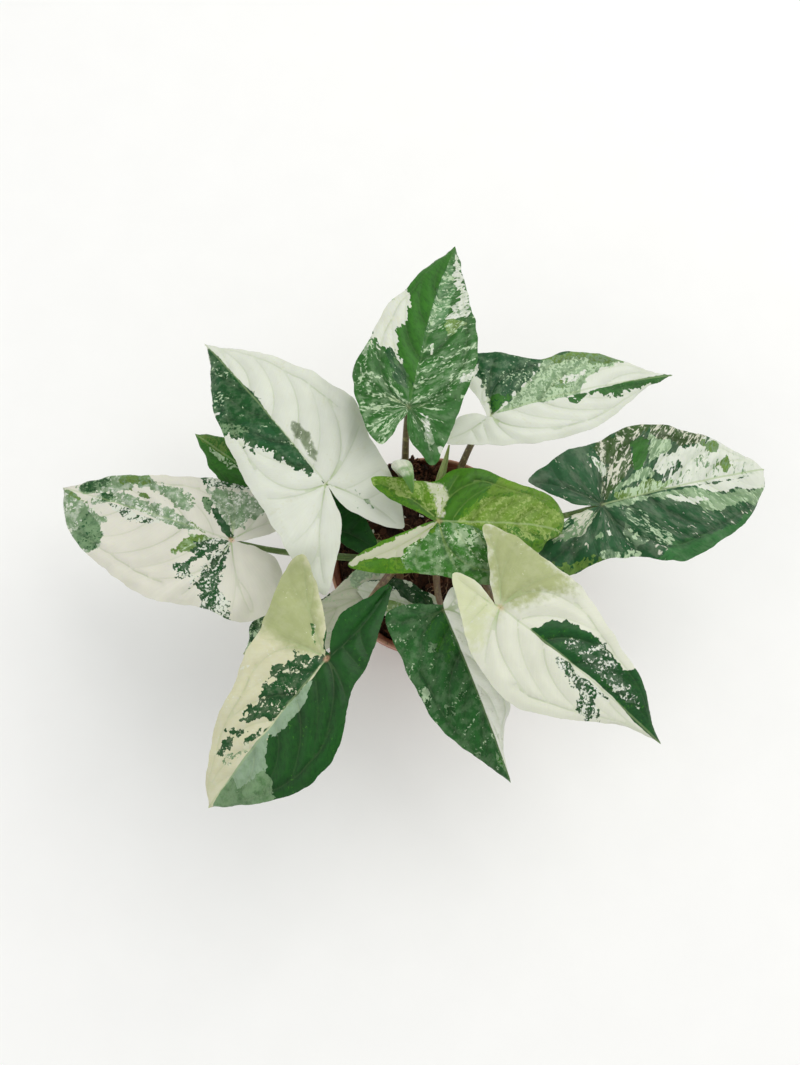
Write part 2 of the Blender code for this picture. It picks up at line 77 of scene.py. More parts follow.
# Leaves
BLADE = 0.5             # thickness at the middle
BLADE_EDGE = 0.28       # and at the edge
THIN_MARGIN = 2.0       # it thins over this distance
EDGE_STEP = 0.9         # spacing of points along a blade's edge
CELL = 0.82             # inside it
VEIN_STEP = 0.8         # and along a vein
VEIN_ROOM = 0.5         # least distance between a vein's points and others
NOTCH = 1.7             # the blade reaches this far behind the junction
BACK_REACH = 30.0       # distances at which a leaf's back, cup and wave have their full height
CUP_REACH = 20.0
WAVE_REACH = 18.0
FOLD_WIDTH = 3.0        # half width of the round bottom of the fold along the midrib

# Stems
STEM_TOP = 1.0          # radius under the blade
STEM_FOOT = 1.6         # and at the soil
STEM_RINGS = 70
STEM_SIDES = 28
STEM_STAND = 2.5        # a stem stands straight up to this far above the soil


class Leaf:
    """One arrowhead leaf: a blade of three lobes on a stem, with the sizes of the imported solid.

    junction: where the stem meets the blade. heading: the way the midrib points, in degrees from +X.
    length: junction to tip in plan. left, right: the blade's outline from tip to junction, as
    (along, across) in plan, left positive. foot: where the stem stands in the soil. slope: rise of the
    midrib at the junction. drop: height of the tip over the junction. sag: power with which the midrib
    bends down. back: heights that the left and right basal lobes gain behind the junction. fold: rise of
    the sides by the midrib. cup: height gained to the side. roll: sideways tilt. wave: height, length and
    phase of the waves of the edge. lean, swing, reach: upward angle, sideways turn from the heading and
    length of the stem's last bend. lift: how far it rises straight before it bends over, as a share of
    its height. stem: its finish.
    """

    def __init__(self, name, junction, heading, length, left, right, foot, slope=0.0, drop=-16.0, sag=2.0,
                 back=(0.0, 0.0), fold=0.1, cup=-1.5, roll=0.0, wave=(0.7, 21.0, 0.0), lean=55.0, swing=0.0,
                 reach=16.0, lift=0.5, stem="stem_green"):
        self.name = name
        self.junction = np.array(junction, float)
        self.heading = math.radians(heading)
        self.length = length
        self.left = left
        self.right = right
        self.foot = foot
        self.slope = slope
        self.drop = drop
        self.sag = sag
        self.back = back
        self.fold = fold
        self.cup = cup
        self.roll = roll
        self.wave = wave
        self.lean = math.radians(lean)
        self.swing = math.radians(swing)
        self.reach = reach
        self.lift = lift
        self.stem = stem


LEAVES = [
    Leaf(
        "leaf_top", junction=(-9, 38, 134), heading=75.5, length=70, slope=0.12, drop=-14, fold=0.14,
        cup=-2.5, foot=(-10, 27), lean=75, stem="stem_brown",
        left=[(64, 3), (54, 8.8), (45, 12), (36, 16.5), (24, 19), (8, 21.8), (-3, 17.4), (-9, 13.5),
              (-15, 6.6), (-11, 2.8), (-6, 1.3)],
        right=[(63, -3.6), (55, -6.6), (46, -10.6), (35, -15.8), (22, -18.9), (4, -17.6), (-9, -15.8),
               (-18, -13.2), (-14, -7), (-10, -2.6), (-5, -0.7)]),
    Leaf(
        "leaf_upper_right", junction=(21, 41.5, 116), heading=18.5, length=77, slope=-0.05, drop=-24,
        fold=0.1, cup=-2.0, roll=0.05, foot=(10, 27), lean=70, stem="stem_brown",
        left=[(66, 3.8), (57, 8.8), (48, 13), (37, 15.9), (26, 15.2), (15, 19.8), (4, 24.2), (-4, 22.6),
              (-4.6, 15), (-2, 4)],
        right=[(64, -3.4), (53, -8.4), (44, -12.3), (33, -15.2), (20, -15.4), (8, -14), (-3, -11), (-12, -8),
               (-19, -4.8), (-13, 1.6), (-6, 2.2)]),
    Leaf(
        "leaf_right", junction=(61, 9.5, 110), heading=16, length=69, slope=-0.1, drop=-20, fold=0.08,
        cup=-2.0, roll=0.1, back=(2, -4), foot=(21, 6), lean=30, reach=24, lift=0.8,
        left=[(65, 4.6), (54, 12.8), (46, 18), (37, 21.8), (26, 26), (16, 25.2), (6, 23), (-5, 22.3),
              (-15, 19.2), (-24, 14.8), (-18, 8.4), (-9, 2.2)],
        right=[(67, -6.5), (61, -12.8), (53, -18.8), (42, -22.8), (29, -26.4), (18, -25.4), (6, -21),
               (-7, -19.6), (-20, -21.2), (-32, -17.8), (-25, -8.6), (-14, -1.8), (-7, -0.6)]),
    Leaf(
        "leaf_centre", junction=(1.5, -1, 128), heading=-2, length=44, slope=0.02, drop=-13, sag=6.0,
        fold=0.12, cup=-2.0, foot=(2, 4), lean=80, stem="stem_pink",
        left=[(45.6, 3.4), (45.4, 7.6), (42, 10.6), (36, 12.6), (28, 13.8), (19.5, 17.2), (11, 19.2),
              (4.5, 18.3), (-1.5, 14), (-8, 13.8), (-16, 14.8), (-23.8, 14.4), (-19, 8.2), (-10, 4.1)],
        right=[(41.4, -2.4), (38, -4.8), (35, -8.6), (29, -14.8), (23, -19.4), (16, -21.8), (6, -20),
               (-5, -18.6), (-17, -18.8), (-30, -17), (-25, -11.2), (-14, -5.2), (-6, -1.6)]),
    Leaf(
        "leaf_upper_left", junction=(-38, 15, 118), heading=129, length=77, slope=0.06, drop=-16, fold=0.1,
        cup=-1.5, foot=(-14, 14), lean=25, reach=17, lift=0.8,
        left=[(68, 3.4), (58, 9.6), (48, 14.8), (37, 17.8), (23, 20.8), (8, 23), (-7, 25), (-20, 26.3),
              (-31, 24.8), (-24, 14.5), (-15, 4.8), (-6, 1.4)],
        right=[(69, -5), (60, -11.6), (50, -17.2), (38, -22.3), (26, -26), (15, -27.2), (3, -22.8),
               (-12, -20.2), (-24, -15.2), (-29.5, -10.6), (-19, -3.2), (-9, 0.3)]),
    Leaf(
        "leaf_left", junction=(-74, -1, 98), heading=161, length=71.5, slope=0.04, drop=-12, fold=0.08,
        cup=-1.2, foot=(-22, -3), lean=18, reach=20,
        left=[(67.6, 8), (60.5, 16), (51, 21.4), (38, 26), (25, 29.7), (13, 29.4), (1, 26.8), (-10, 28),
              (-19, 24.5), (-25, 14), (-20, 2.6), (-10, -0.6)],
        right=[(64, -4), (50, -10.8), (38, -14), (26, -17.3), (14, -20), (2, -21), (-8, -19.5),
               (-16.6, -13.5), (-12.5, -6.6), (-6, -2.6)]),
    Leaf(
        "leaf_back_left", junction=(-41.5, 5, 96), heading=142, length=64, slope=0.02, drop=-11, fold=0.1,
        cup=-1.2, foot=(-17, 3), lean=45, reach=12,
        left=[(53, 5.6), (44, 9), (33, 11.2), (21, 11), (9, 10), (-3, 12), (-13, 9.5), (-9, 3.8), (-5, 1.4)],
        right=[(59, -2.8), (51, -6.4), (42, -11.6), (31, -15.2), (18, -16.6), (4, -15.5), (-8, -13.5),
               (-21.5, -7), (-18, -0.6), (-8, 0)]),
    Leaf(
        "leaf_front_left", junction=(-36.5, -47.5, 124), heading=-130, length=64, slope=0.04, drop=-20,
        fold=0.12, cup=-2.0, back=(-1, 2), foot=(-12, -8.5), lean=25, reach=18, lift=1.0, stem="stem_pink",
        left=[(57, 7.4), (50, 13.6), (42, 19.8), (32, 23), (22, 22.8), (12, 18.4), (3, 13.6), (-8, 11.4),
              (-21, 6.4), (-33, 0.7), (-24, -3), (-14, -6), (-6, -3.4)],
        right=[(58, -6), (51, -9.8), (40, -15.6), (28, -18.6), (15, -22.4), (0, -26), (-13, -31),
               (-21.5, -29.5), (-18, -21), (-12.5, -12.8), (-7.4, -6.4), (-2.6, -2.8)]),
    Leaf(
        "leaf_front", junction=(3, -30, 118), heading=-67.5, length=63, slope=0.0, drop=-22, fold=0.1,
        cup=-2.0, foot=(2, -7), lean=60, reach=14, stem="stem_pink",
        left=[(58, 0.9), (51, 2), (44, 5), (38, 9.6), (28, 12.6), (17, 13), (7, 11.5), (-2, 9), (-6, 6),
              (-4, 2.4)],
        right=[(52, -7.2), (43.5, -13), (33, -17.5), (21, -19.2), (9, -20), (-1, -20.2), (-6.6, -18.5),
               (-6, -10.5), (-3.6, -4)]),
    Leaf(
        "leaf_front_right", junction=(21, -32, 136), heading=-37.5, length=71, slope=0.0, drop=-26,
        fold=0.1, cup=-2.0, foot=(17, -10), lean=62, reach=18, swing=-30, stem="stem_pink",
        left=[(64, 3.5), (58, 8.2), (50, 12.4), (41, 14.9), (31, 17.9), (21, 21.6), (10, 22.6), (-4, 22.2),
              (-14, 21.6), (-21, 19), (-14, 12), (-7, 4)],
        right=[(64, -1.6), (54, -5.6), (40, -14.8), (28, -21), (18, -22.9), (8, -20.8), (-3, -15),
               (-10, -8.8), (-19, -0.8), (-13, 2), (-6, 0.7)]),
    Leaf(
        "leaf_under", junction=(-24, -19, 86), heading=-155, length=52, slope=0.0, drop=-6, fold=0.06,
        cup=-1.0, foot=(-18.5, -8.5), lean=60, reach=9, stem="stem_pink",
        left=[(47, 7.5), (36, 11.4), (23, 12.4), (10, 11.5), (-2, 10), (-9, 6.6), (-7, 2.4)],
        right=[(48, -3.8), (44, -9.2), (34, -8.6), (24, -6.4), (15, -5.8), (7, -8.4), (-1, -10.4), (-9, -9),
               (-12, -5), (-7, -0.8)]),
    Leaf(
        "leaf_small", junction=(-1.5, -25.5, 92), heading=164, length=28, slope=0.0, drop=-3, fold=0.08,
        cup=-1.0, foot=(-4, -16), lean=70, reach=8, wave=(0.4, 14.0, 0.0),
        left=[(24, 3.2), (18, 5.8), (10, 8.8), (2, 9.8), (-4, 7.8), (-5, 3)],
        right=[(25, -3.8), (20, -6), (14, -7.8), (8, -7.4), (3.5, -6), (-2, -5), (-4.5, -2.4)]),
]


# The next leaf, still rolled, and a young one that is only half unrolled:
# points of their middle lines, each with its half width and half depth there
SPEAR_PATH = [
    ((3, 24, 66), 1.5, 1.4), ((3.2, 25, 74), 1.9, 1.6), ((4.2, 28, 83), 1.7, 1.3), ((5.6, 32, 91), 1.0, 0.8),
    ((6.6, 35.5, 98), 0.3, 0.3),
]
CURL_PATH = [
    ((-10, 22, 67), 1.5, 1.4), ((-10.2, 22.5, 85), 1.2, 1.2), ((-10.8, 22.2, 100), 1.4, 1.3),
    ((-11.2, 21, 113), 2.2, 1.7), ((-11.6, 19, 126), 3.3, 2.0), ((-11, 16.6, 134.5), 3.4, 1.9),
    ((-9.4, 13, 137.4), 2.4, 1.5), ((-8.2, 9.6, 135.6), 1.2, 0.9), ((-7.6, 7.6, 132.8), 0.35, 0.35),
]


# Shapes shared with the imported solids

def smooth_curve(points, step):
    """Points about a step apart on a smooth curve through the given ones."""
    points = np.array(points, float)
    ends = np.vstack([2 * points[0] - points[1], points, 2 * points[-1] - points[-2]])
    out = [points[0]]
    for before, start, end, after in zip(ends, ends[1:], ends[2:], ends[3:]):
        count = max(1, round(float(np.linalg.norm(end - start)) / step))
        once = end - before
        twice = 2 * before - 5 * start + 4 * end - after
        thrice = 3 * start - before - 3 * end + after
        for t in np.arange(1, count + 1) / count:
            out.append(start + 0.5 * (once * t + twice * t ** 2 + thrice * t ** 3))
    return np.array(out)


def outline(leaf, step):
    """The blade's edge in plan, once round from its tip, left side first."""
    tip = (leaf.length, 0.0)
    notch = (-NOTCH, 0.0)
    left = smooth_curve([tip] + leaf.left + [notch], step)
    right = smooth_curve([tip] + leaf.right + [notch], step)
    return np.vstack([left, right[-2:0:-1]])


def rise(leaf, u, v):
    """Height of the blade's middle over its junction, at u along the midrib and v to the left of it."""
    ahead = np.maximum(u, 0.0) / leaf.length
    behind = np.minimum(u, 0.0) / BACK_REACH
    back = np.where(v > 0, leaf.back[0], leaf.back[1])
    height, length, phase = leaf.wave
    midrib = leaf.slope * u + (leaf.drop - leaf.slope * leaf.length) * ahead ** leaf.sag + back * behind ** 2
    fold = leaf.fold * (np.sqrt(v * v + FOLD_WIDTH ** 2) - FOLD_WIDTH)
    sides = leaf.roll * v + fold + leaf.cup * (v / CUP_REACH) ** 2
    turn = 2 * math.pi * (u - 0.5 * np.abs(v)) / length + phase + (v > 0)
    return midrib + sides + height * np.sin(turn) * (v / WAVE_REACH) ** 2


def lifted(leaf, plan):
    """Points of the blade's middle surface over plan points, and its normals, beside the junction."""
    u, v = plan[:, 0], plan[:, 1]
    small = 0.05
    along = (rise(leaf, u + small, v) - rise(leaf, u - small, v)) / (2 * small)
    across = (rise(leaf, u, v + small) - rise(leaf, u, v - small)) / (2 * small)
    normals = np.column_stack([-along, -across, np.ones(len(u))])
    normals /= np.linalg.norm(normals, axis=1)[:, None]
    return np.column_stack([u, v, rise(leaf, u, v)]), normals


def placed(leaf, points):
    """Points given beside the junction, turned to the leaf's heading and moved to its place."""
    c, s = math.cos(leaf.heading), math.sin(leaf.heading)
    turn = np.array([[c, -s, 0], [s, c, 0], [0, 0, 1]])
    return points @ turn.T + leaf.junction


def soil_top(x, y):
    """Height of the soil's top before its crumbs."""
    hx, hy, spread, heap = HEAP
    heaped = heap * np.exp(-((x - hx) ** 2 + (y - hy) ** 2) / spread ** 2)
    lumps = np.sin(0.43 * x + 1.1) * np.sin(0.37 * y - 0.4) + 0.5 * np.sin(0.9 * x - 0.7 * y)
    return SOIL_LEVEL + heaped + SOIL_LUMPS * lumps


def soil_at(x, y):
    """The same for one place, as a plain number."""
    return float(soil_top(np.array(x), np.array(y)))


def bezier(a, b, c, d, count):
    """Points on the curve from a to d that b and c draw towards themselves."""
    t = np.linspace(0, 1, count)[:, None]
    return (1 - t) ** 3 * a + 3 * (1 - t) ** 2 * t * b + 3 * (1 - t) * t ** 2 * c + t ** 3 * d


def stem_path(leaf):
    """Middle line of a stem: straight up out of its hole, then bent over to the junction."""
    x, y = leaf.foot
    soil = soil_at(x, y)
    start = np.array([x, y, soil + STEM_STAND])
    turned = leaf.heading + leaf.swing
    way = np.array([math.cos(turned), math.sin(turned), 0.0])
    arrive = way * math.cos(leaf.lean) + np.array([0, 0, math.sin(leaf.lean)])
    end = leaf.junction
    up = np.array([0, 0, leaf.lift * (end[2] - start[2])])
    bend = bezier(start, start + up, end - leaf.reach * arrive, end, STEM_RINGS)
    return np.vstack([[x, y, soil - HOLE_DEPTH], bend])


def wall_radius(z):
    """Outer radius of the pot's wall, under the lip."""
    return FOOT_RADIUS + (RIM_RADIUS - LIP_STEP - FOOT_RADIUS) * z / POT_HEIGHT


# Plan geometry

TINY = 1e-9             # stands for nothing where a number is divided by


def distance_to(points, a, b):
    """Distance from each point to the nearest of the segments a to b."""
    edge = b - a
    squared = np.maximum((edge ** 2).sum(axis=1), TINY)
    px, py = points[:, 0][:, None], points[:, 1][:, None]
    t = np.clip(((px - a[:, 0]) * edge[:, 0] + (py - a[:, 1]) * edge[:, 1]) / squared, 0, 1)
    return np.hypot(px - a[:, 0] - t * edge[:, 0], py - a[:, 1] - t * edge[:, 1]).min(axis=1)


def clear_of(points, others):
    """The points that keep VEIN_ROOM clear of the others."""
    if len(points) == 0:
        return points
    return points[distance_to(points, others, others + 1e-6) > VEIN_ROOM]


def inside(points, ring):
    """Which points lie inside a ring."""
    a = ring
    b = np.roll(ring, -1, axis=0)
    px, py = points[:, 0][:, None], points[:, 1][:, None]
    crosses = (a[:, 1] > py) != (b[:, 1] > py)
    slope = np.where(b[:, 1] == a[:, 1], TINY, b[:, 1] - a[:, 1])
    left_of = px < (b[:, 0] - a[:, 0]) * (py - a[:, 1]) / slope + a[:, 0]
    return (crosses & left_of).sum(axis=1) % 2 == 1


def depth_in(points, ring):
    """How far each point lies inside a ring, negative outside."""
    distance = distance_to(points, ring, np.roll(ring, -1, axis=0))
    return np.where(inside(points, ring), distance, -distance)


def filling(ring, cell):
    """Staggered points a cell apart that fill a ring and keep a little clear of it."""
    low, high = ring.min(axis=0), ring.max(axis=0)
    rows = []
    for n, y in enumerate(np.arange(low[1], high[1] + cell, cell * math.sqrt(0.75))):
        xs = np.arange(low[0], high[0] + cell, cell) + (n % 2) * cell / 2
        rows.append(np.column_stack([xs, np.full(len(xs), y)]))
    fill = np.vstack(rows)
    return fill[depth_in(fill, ring) > 0.6 * cell]


def triangulated(ring, inner):
    """Triangles that fill a ring and use the inner points: plan points and index triples."""
    points = [tuple(map(float, p)) for p in np.vstack([ring, inner])]
    result = delaunay_2d_cdt(points, [], [list(range(len(ring)))], 1, 1e-5)
    return np.array([tuple(p) for p in result[0]]), [tuple(f) for f in result[2]]


def border(triangles):
    """The edges that only one triangle has, in that triangle's direction."""
    directed = {(a, b) for t in triangles for a, b in zip(t, t[1:] + t[:1])}
    return [(a, b) for a, b in directed if (b, a) not in directed]


# Building pieces

class Shell:
    """Points, faces and per-point values of a piece, gathered part by part."""

    def __init__(self):
        self.points = []
        self.faces = []
        self.finish = []
        self.values = {}
        self.count = 0

    def add(self, points, faces, finish=0, **values):
        """One more part: finish is the number of its material, values are given point by point."""
        points = np.array(points, float)
        self.points.append(points)
        self.faces += [tuple(i + self.count for i in f) for f in faces]
        self.finish += [finish] * len(faces)
        for name, given in values.items():
            given = np.array(given, float)
            self.values.setdefault(name, []).append((self.count, given))
        self.count += len(points)

    def piece(self, name, materials, crease=60.0):
        """The finished object, which rides on the plant's one body."""
        mesh = bpy.data.meshes.new(name)
        points = np.vstack(self.points) * MM
        mesh.from_pydata(points.tolist(), [], self.faces)
        shape = bmesh.new()
        shape.from_mesh(mesh)
        bmesh.ops.recalc_face_normals(shape, faces=shape.faces)
        shape.to_mesh(mesh)
        shape.free()
        for finish in materials:
            mesh.materials.append(finish)
        mesh.polygons.foreach_set("material_index", np.array(self.finish, np.int32))
        for value, parts in self.values.items():
            wide = parts[0][1].ndim > 1
            whole = np.zeros((self.count, 3) if wide else self.count)
            for start, given in parts:
                whole[start:start + len(given)] = given
            layer = mesh.attributes.new(value, "FLOAT_VECTOR" if wide else "FLOAT", "POINT")
            layer.data.foreach_set("vector" if wide else "value", whole.ravel())
        mesh.validate()
        mesh.shade_smooth()
        mesh.set_sharp_from_angle(angle=math.radians(crease))
        made = bpy.data.objects.new(name, mesh)
        bpy.context.scene.collection.objects.link(made)
        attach(made, "root")
        return made


def tube(path, wide, deep, sides, facing=(0.0, -1.0, 0.0), shape=None):
    """Points and faces of a closed tube along a path, with each point's angle round it.

    wide, deep: half width and half depth at each point of the path. facing: the way that angle 0 looks.
    shape: scales the radius by angle and by ring, if it isn't plain.
    """
    path = np.array(path, float)
    ways = np.gradient(path, axis=0)
    ways /= np.linalg.norm(ways, axis=1)[:, None]
    front = np.array(facing, float)
    angles = 2 * math.pi * np.arange(sides) / sides
    rings = []
    for n, (place, way) in enumerate(zip(path, ways)):
        front = front - way * (front @ way)
        front /= np.linalg.norm(front)
        side = np.cross(way, front)
        scale = np.ones(sides) if shape is None else shape(angles, n)
        rings.append(place + (wide[n] * np.sin(angles) * scale)[:, None] * side
                     + (deep[n] * np.cos(angles) * scale)[:, None] * front)
    points = np.vstack(rings)
    faces = []
    for ring in range(len(path) - 1):
        for n in range(sides):
            a, b = ring * sides + n, ring * sides + (n + 1) % sides
            faces.append((a, b, b + sides, a + sides))
    faces.append(tuple(reversed(range(sides))))
    faces.append(tuple(range(len(points) - sides, len(points))))
    return points, faces, np.tile(angles, len(path))


def lengths_along(path):
    """How far along a path each of its points lies."""
    return np.concatenate([[0.0], np.cumsum(np.linalg.norm(np.diff(path, axis=0), axis=1))])


def centred(angles):
    """Angles as turns to either side of the front, from -pi to pi."""
    return (angles + math.pi) % (2 * math.pi) - math.pi


def polar(radius, angle):
    """The place at a distance from the pot's axis, at an angle from +X."""
    return radius * math.cos(angle), radius * math.sin(angle)


# Colours

def colour(red, green, blue):
    """A colour from 0 to 255, as the shaders take it."""
    made = []
    for part in (red, green, blue):
        part /= 255
        made.append(part / 12.92 if part < 0.04045 else ((part + 0.055) / 1.055) ** 2.4)
    return (*made, 1.0)


TINTS = {
    # Light parts of the leaves
    "white": colour(212, 216, 203),
    # painted light: a lighter white for a white part that lies in shade
    "bright": colour(236, 238, 226),
    "warmwhite": colour(214, 212, 199),
    "greywhite": colour(200, 200, 182),
    "chalk": colour(209, 212, 194),
    "ivory": colour(213, 215, 198),
    "cream": colour(209, 210, 182),
    "limecream": colour(200, 205, 166),
    # painted shade of what lies beneath, seen through the thin lobes
    "olivecream": colour(163, 171, 120),
    "beige": colour(203, 201, 168),
    "greige": colour(184, 186, 160),
    # Between light and green
    "pale": colour(176, 198, 162),
    "mist": colour(178, 198, 160),
    "sage": colour(116, 146, 106),
    "greysage": colour(142, 166, 138),
    "greyolive": colour(122, 136, 106),
    "palegreen": colour(130, 160, 90),
    "jade": colour(80, 128, 76),
    "moss": colour(100, 132, 55),
    # Greens
    "mid": colour(46, 102, 36),
    "fresh": colour(52, 112, 28),
    "freshmid": colour(46, 108, 26),
    "leafgreen": colour(50, 106, 52),
    "frontgreen": colour(34, 92, 34),
    "olive": colour(54, 84, 32),
    "bluegreen": colour(30, 82, 42),
    "dark": colour(22, 76, 30),
    "deep": colour(20, 74, 20),
    # The young leaf
    "lime": colour(88, 132, 20),
    "leaflime": colour(62, 114, 12),
    "limelight": colour(103, 137, 42),
    "limepale": colour(143, 166, 88),
    # Veins, the spot over the stem and the underside
    "vein": colour(160, 180, 128),
    "rosy": colour(226, 168, 140),
    "back": colour(150, 172, 128),
    # Pot
    "terracotta": colour(146, 82, 62),
    "terracotta_light": colour(164, 98, 74),
    "scuff": colour(190, 140, 116),
    # painted light on the top of the pot's rim
    "rim_painted_light": colour(196, 150, 124),
    "smear": colour(70, 44, 34),
    # Soil and what lies on it
    "peat": colour(34, 20, 15),
    "peat_brown": colour(74, 46, 34),
    "peat_black": colour(24, 14, 11),
    "fibre": colour(118, 76, 54),
    "bark_light": colour(120, 74, 52),
    "perlite_shade": colour(206, 196, 182),
    "perlite": colour(238, 234, 226),
    "root_dark": colour(96, 62, 44),
    "root_light": colour(172, 140, 108),
    # Floor
    "floor": colour(243, 243, 241),
    "floor_light": colour(247, 247, 245),
}
# A stem's body, its light spots and its dark stripes
STEM_TINTS = {
    "stem_green": (colour(104, 132, 70), colour(150, 168, 112), colour(84, 108, 52)),
    "stem_brown": (colour(112, 98, 62), colour(160, 156, 108), colour(84, 70, 42)),
    "stem_pink": (colour(134, 110, 76), colour(172, 154, 112), colour(104, 76, 54)),
}
# A rolled leaf's stem, its roll, its tip and its darker side
SPEAR_TINTS = (colour(172, 190, 122), colour(180, 198, 124), colour(160, 184, 96), colour(124, 152, 80))
CURL_TINTS = (colour(120, 140, 84), colour(206, 211, 190), colour(84, 132, 50), colour(136, 168, 108))


class Patch:
    """A patch of a leaf: its ground colour, the colour and share of its flecks, how ragged its edge is in
    millimetres, its outline in plan, as (along, across), and how soft its edge is."""

    def __init__(self, ground, fleck, share, ragged, ring, soft=0.12):
        self.ground = ground
        self.fleck = fleck
        self.share = share
        self.ragged = ragged
        self.ring = ring
        self.soft = soft


class Paint:
    """One material's node tree, built a node at a time. A value is a number, a colour or a socket."""

    def __init__(self, name):
        self.finish = bpy.data.materials.new(name)
        self.finish.use_nodes = True
        self.tree = self.finish.node_tree
        self.shader = self.tree.nodes["Principled BSDF"]

    def put(self, socket, value):
        """Give a socket its value."""
        if isinstance(value, bpy.types.NodeSocket):
            self.tree.links.new(value, socket)
        else:
            socket.default_value = value

    def set(self, **values):
        """Give the shader's own sockets their values; an underscore in a name stands for a space."""
        for name, value in values.items():
            self.put(self.shader.inputs[name.replace("_", " ")], value)

    def attribute(self, name, output="Fac"):
        """A value that the mesh holds point by point."""
        node = self.tree.nodes.new("ShaderNodeAttribute")
        node.attribute_name = name
        return node.outputs[output]

    def place(self):
        """Object coordinates, in metres."""
        return self.tree.nodes.new("ShaderNodeTexCoord").outputs["Object"]

    def axes(self, vector):
        """The three parts of a vector."""
        node = self.tree.nodes.new("ShaderNodeSeparateXYZ")
        self.put(node.inputs[0], vector)
        return node.outputs["X"], node.outputs["Y"], node.outputs["Z"]

    def length(self, vector):
        """A vector's length."""
        node = self.tree.nodes.new("ShaderNodeVectorMath")
        node.operation = "LENGTH"
        self.put(node.inputs[0], vector)
        return node.outputs["Value"]

    def stretch(self, vector, scale, shift=(0, 0, 0)):
        """A vector scaled along each axis and moved."""
        node = self.tree.nodes.new("ShaderNodeMapping")
        self.put(node.inputs["Vector"], vector)
        node.inputs["Scale"].default_value = scale
        node.inputs["Location"].default_value = shift
        return node.outputs["Vector"]

    def noise(self, vector, scale, detail=2.0, roughness=0.5, distortion=0.0):
        """Cloudy noise about 0.5."""
        node = self.tree.nodes.new("ShaderNodeTexNoise")
        self.put(node.inputs["Vector"], vector)
        node.inputs["Scale"].default_value = scale
        node.inputs["Detail"].default_value = detail
        node.inputs["Roughness"].default_value = roughness
        node.inputs["Distortion"].default_value = distortion
        return node.outputs["Fac"]

    def cells(self, vector, scale):
        """Distance to the nearest middle of scattered cells."""
        node = self.tree.nodes.new("ShaderNodeTexVoronoi")
        self.put(node.inputs["Vector"], vector)
        node.inputs["Scale"].default_value = scale
        return node.outputs["Distance"]

    def sum(self, operation, a, b=0.0, c=0.0):
        """One step of arithmetic, by the name that Blender gives it."""
        node = self.tree.nodes.new("ShaderNodeMath")
        node.operation = operation
        for socket, value in zip(node.inputs, (a, b, c)):
            self.put(socket, value)
        return node.outputs[0]

    def times(self, first, *others):
        """Values multiplied together."""
        for other in others:
            first = self.sum("MULTIPLY", first, other)
        return first

    def span(self, value, low, high, to_low=0.0, to_high=1.0, smooth=True):
        """A value carried over from low..high to to_low..to_high, and held at the ends."""
        node = self.tree.nodes.new("ShaderNodeMapRange")
        node.interpolation_type = "SMOOTHSTEP" if smooth else "LINEAR"
        self.put(node.inputs["Value"], value)
        node.inputs["From Min"].default_value = low
        node.inputs["From Max"].default_value = high
        node.inputs["To Min"].default_value = to_low
        node.inputs["To Max"].default_value = to_high
        return node.outputs["Result"]

    def mix(self, share, a, b):
        """Colour a with a share of colour b."""
        node = self.tree.nodes.new("ShaderNodeMix")
        node.data_type = "RGBA"
        self.put(node.inputs[0], share)
        self.put(node.inputs[6], a)
        self.put(node.inputs[7], b)
        return node.outputs[2]

    def shade(self, base, value):
        """A colour made lighter or darker by a factor."""
        node = self.tree.nodes.new("ShaderNodeHueSaturation")
        self.put(node.inputs["Color"], base)
        self.put(node.inputs["Value"], value)
        return node.outputs["Color"]

    def lightness(self, base):
        """How light a colour is."""
        node = self.tree.nodes.new("ShaderNodeRGBToBW")
        self.put(node.inputs[0], base)
        return node.outputs[0]

    def bump(self, height, distance, strength=1.0, before=None):
        """A normal for relief of this height, a distance in metres, over the normal before it."""
        node = self.tree.nodes.new("ShaderNodeBump")
        self.put(node.inputs["Height"], height)
        node.inputs["Distance"].default_value = distance
        node.inputs["Strength"].default_value = strength
        if before is not None:
            self.put(node.inputs["Normal"], before)
        return node.outputs["Normal"]


# Paint of the leaves and stems

# Flecks are the peaks of a noise with this middle and spread
FLECK_MIDDLE = 0.5
FLECK_SPREAD = 0.085
FLECK_EDGE = 0.01       # half width of a fleck's edge, as a difference of that noise
FLECK_RIM = (0.034, 0.02)           # its paler rim starts and is full this far below the fleck
HALF_TONE = 0.38        # the rim is this far towards the fleck's colour
# How strongly soft clouds of the fleck's colour show, by ground or by fleck
SOFT_GROUND = {"sage": 0.5, "greysage": 0.45, "moss": 0.45, "limelight": 0.5, "greyolive": 0.15}
SOFT = {"white": 0.1, "cream": 0.1, "greywhite": 0.12, "chalk": 0.25, "dark": 0.2, "mist": 0.45}
SOFT_MOST = 0.4         # elsewhere it grows with the share of flecks from SOFT_LEAST to this
SOFT_LEAST = 0.07
RAGGED = 5.0            # a patch's edge wanders over this many millimetres, times its ragged
# Leaves whose flecks are drawn out along the side veins, and how far
STREAKS = {"leaf_right": 0.45, "leaf_top": 0.6}
SIDE_VEIN_PAINT = 0.38  # how plainly the side veins show away from the junction
JUNCTION_PAINT = 0.85   # and at the junction
GREEN_VEINS = {"leaf_centre": 0.75}             # and how much of that is left where a leaf is green
GREEN_VEIN = 0.12
MIDRIB_PAINT = {"leaf_top": 0.08, "leaf_front": 0.2, "leaf_right": 0.6, "leaf_centre": 0.5}
MIDRIB_SHARE = 0.35     # how plainly the midrib of any other leaf shows
BLUSH = {"leaf_left": 0.5, "leaf_front_left": 0.45, "leaf_front_right": 0.3, "leaf_centre": 0.2}
BLUSH_SHARE = 0.05      # how rosy the spot over the stem is on any other leaf
UNDERSIDE = 0.45        # share of the underside's own colour
SKIN_DEPTH = 0.001      # light gets this far into a leaf or a stem


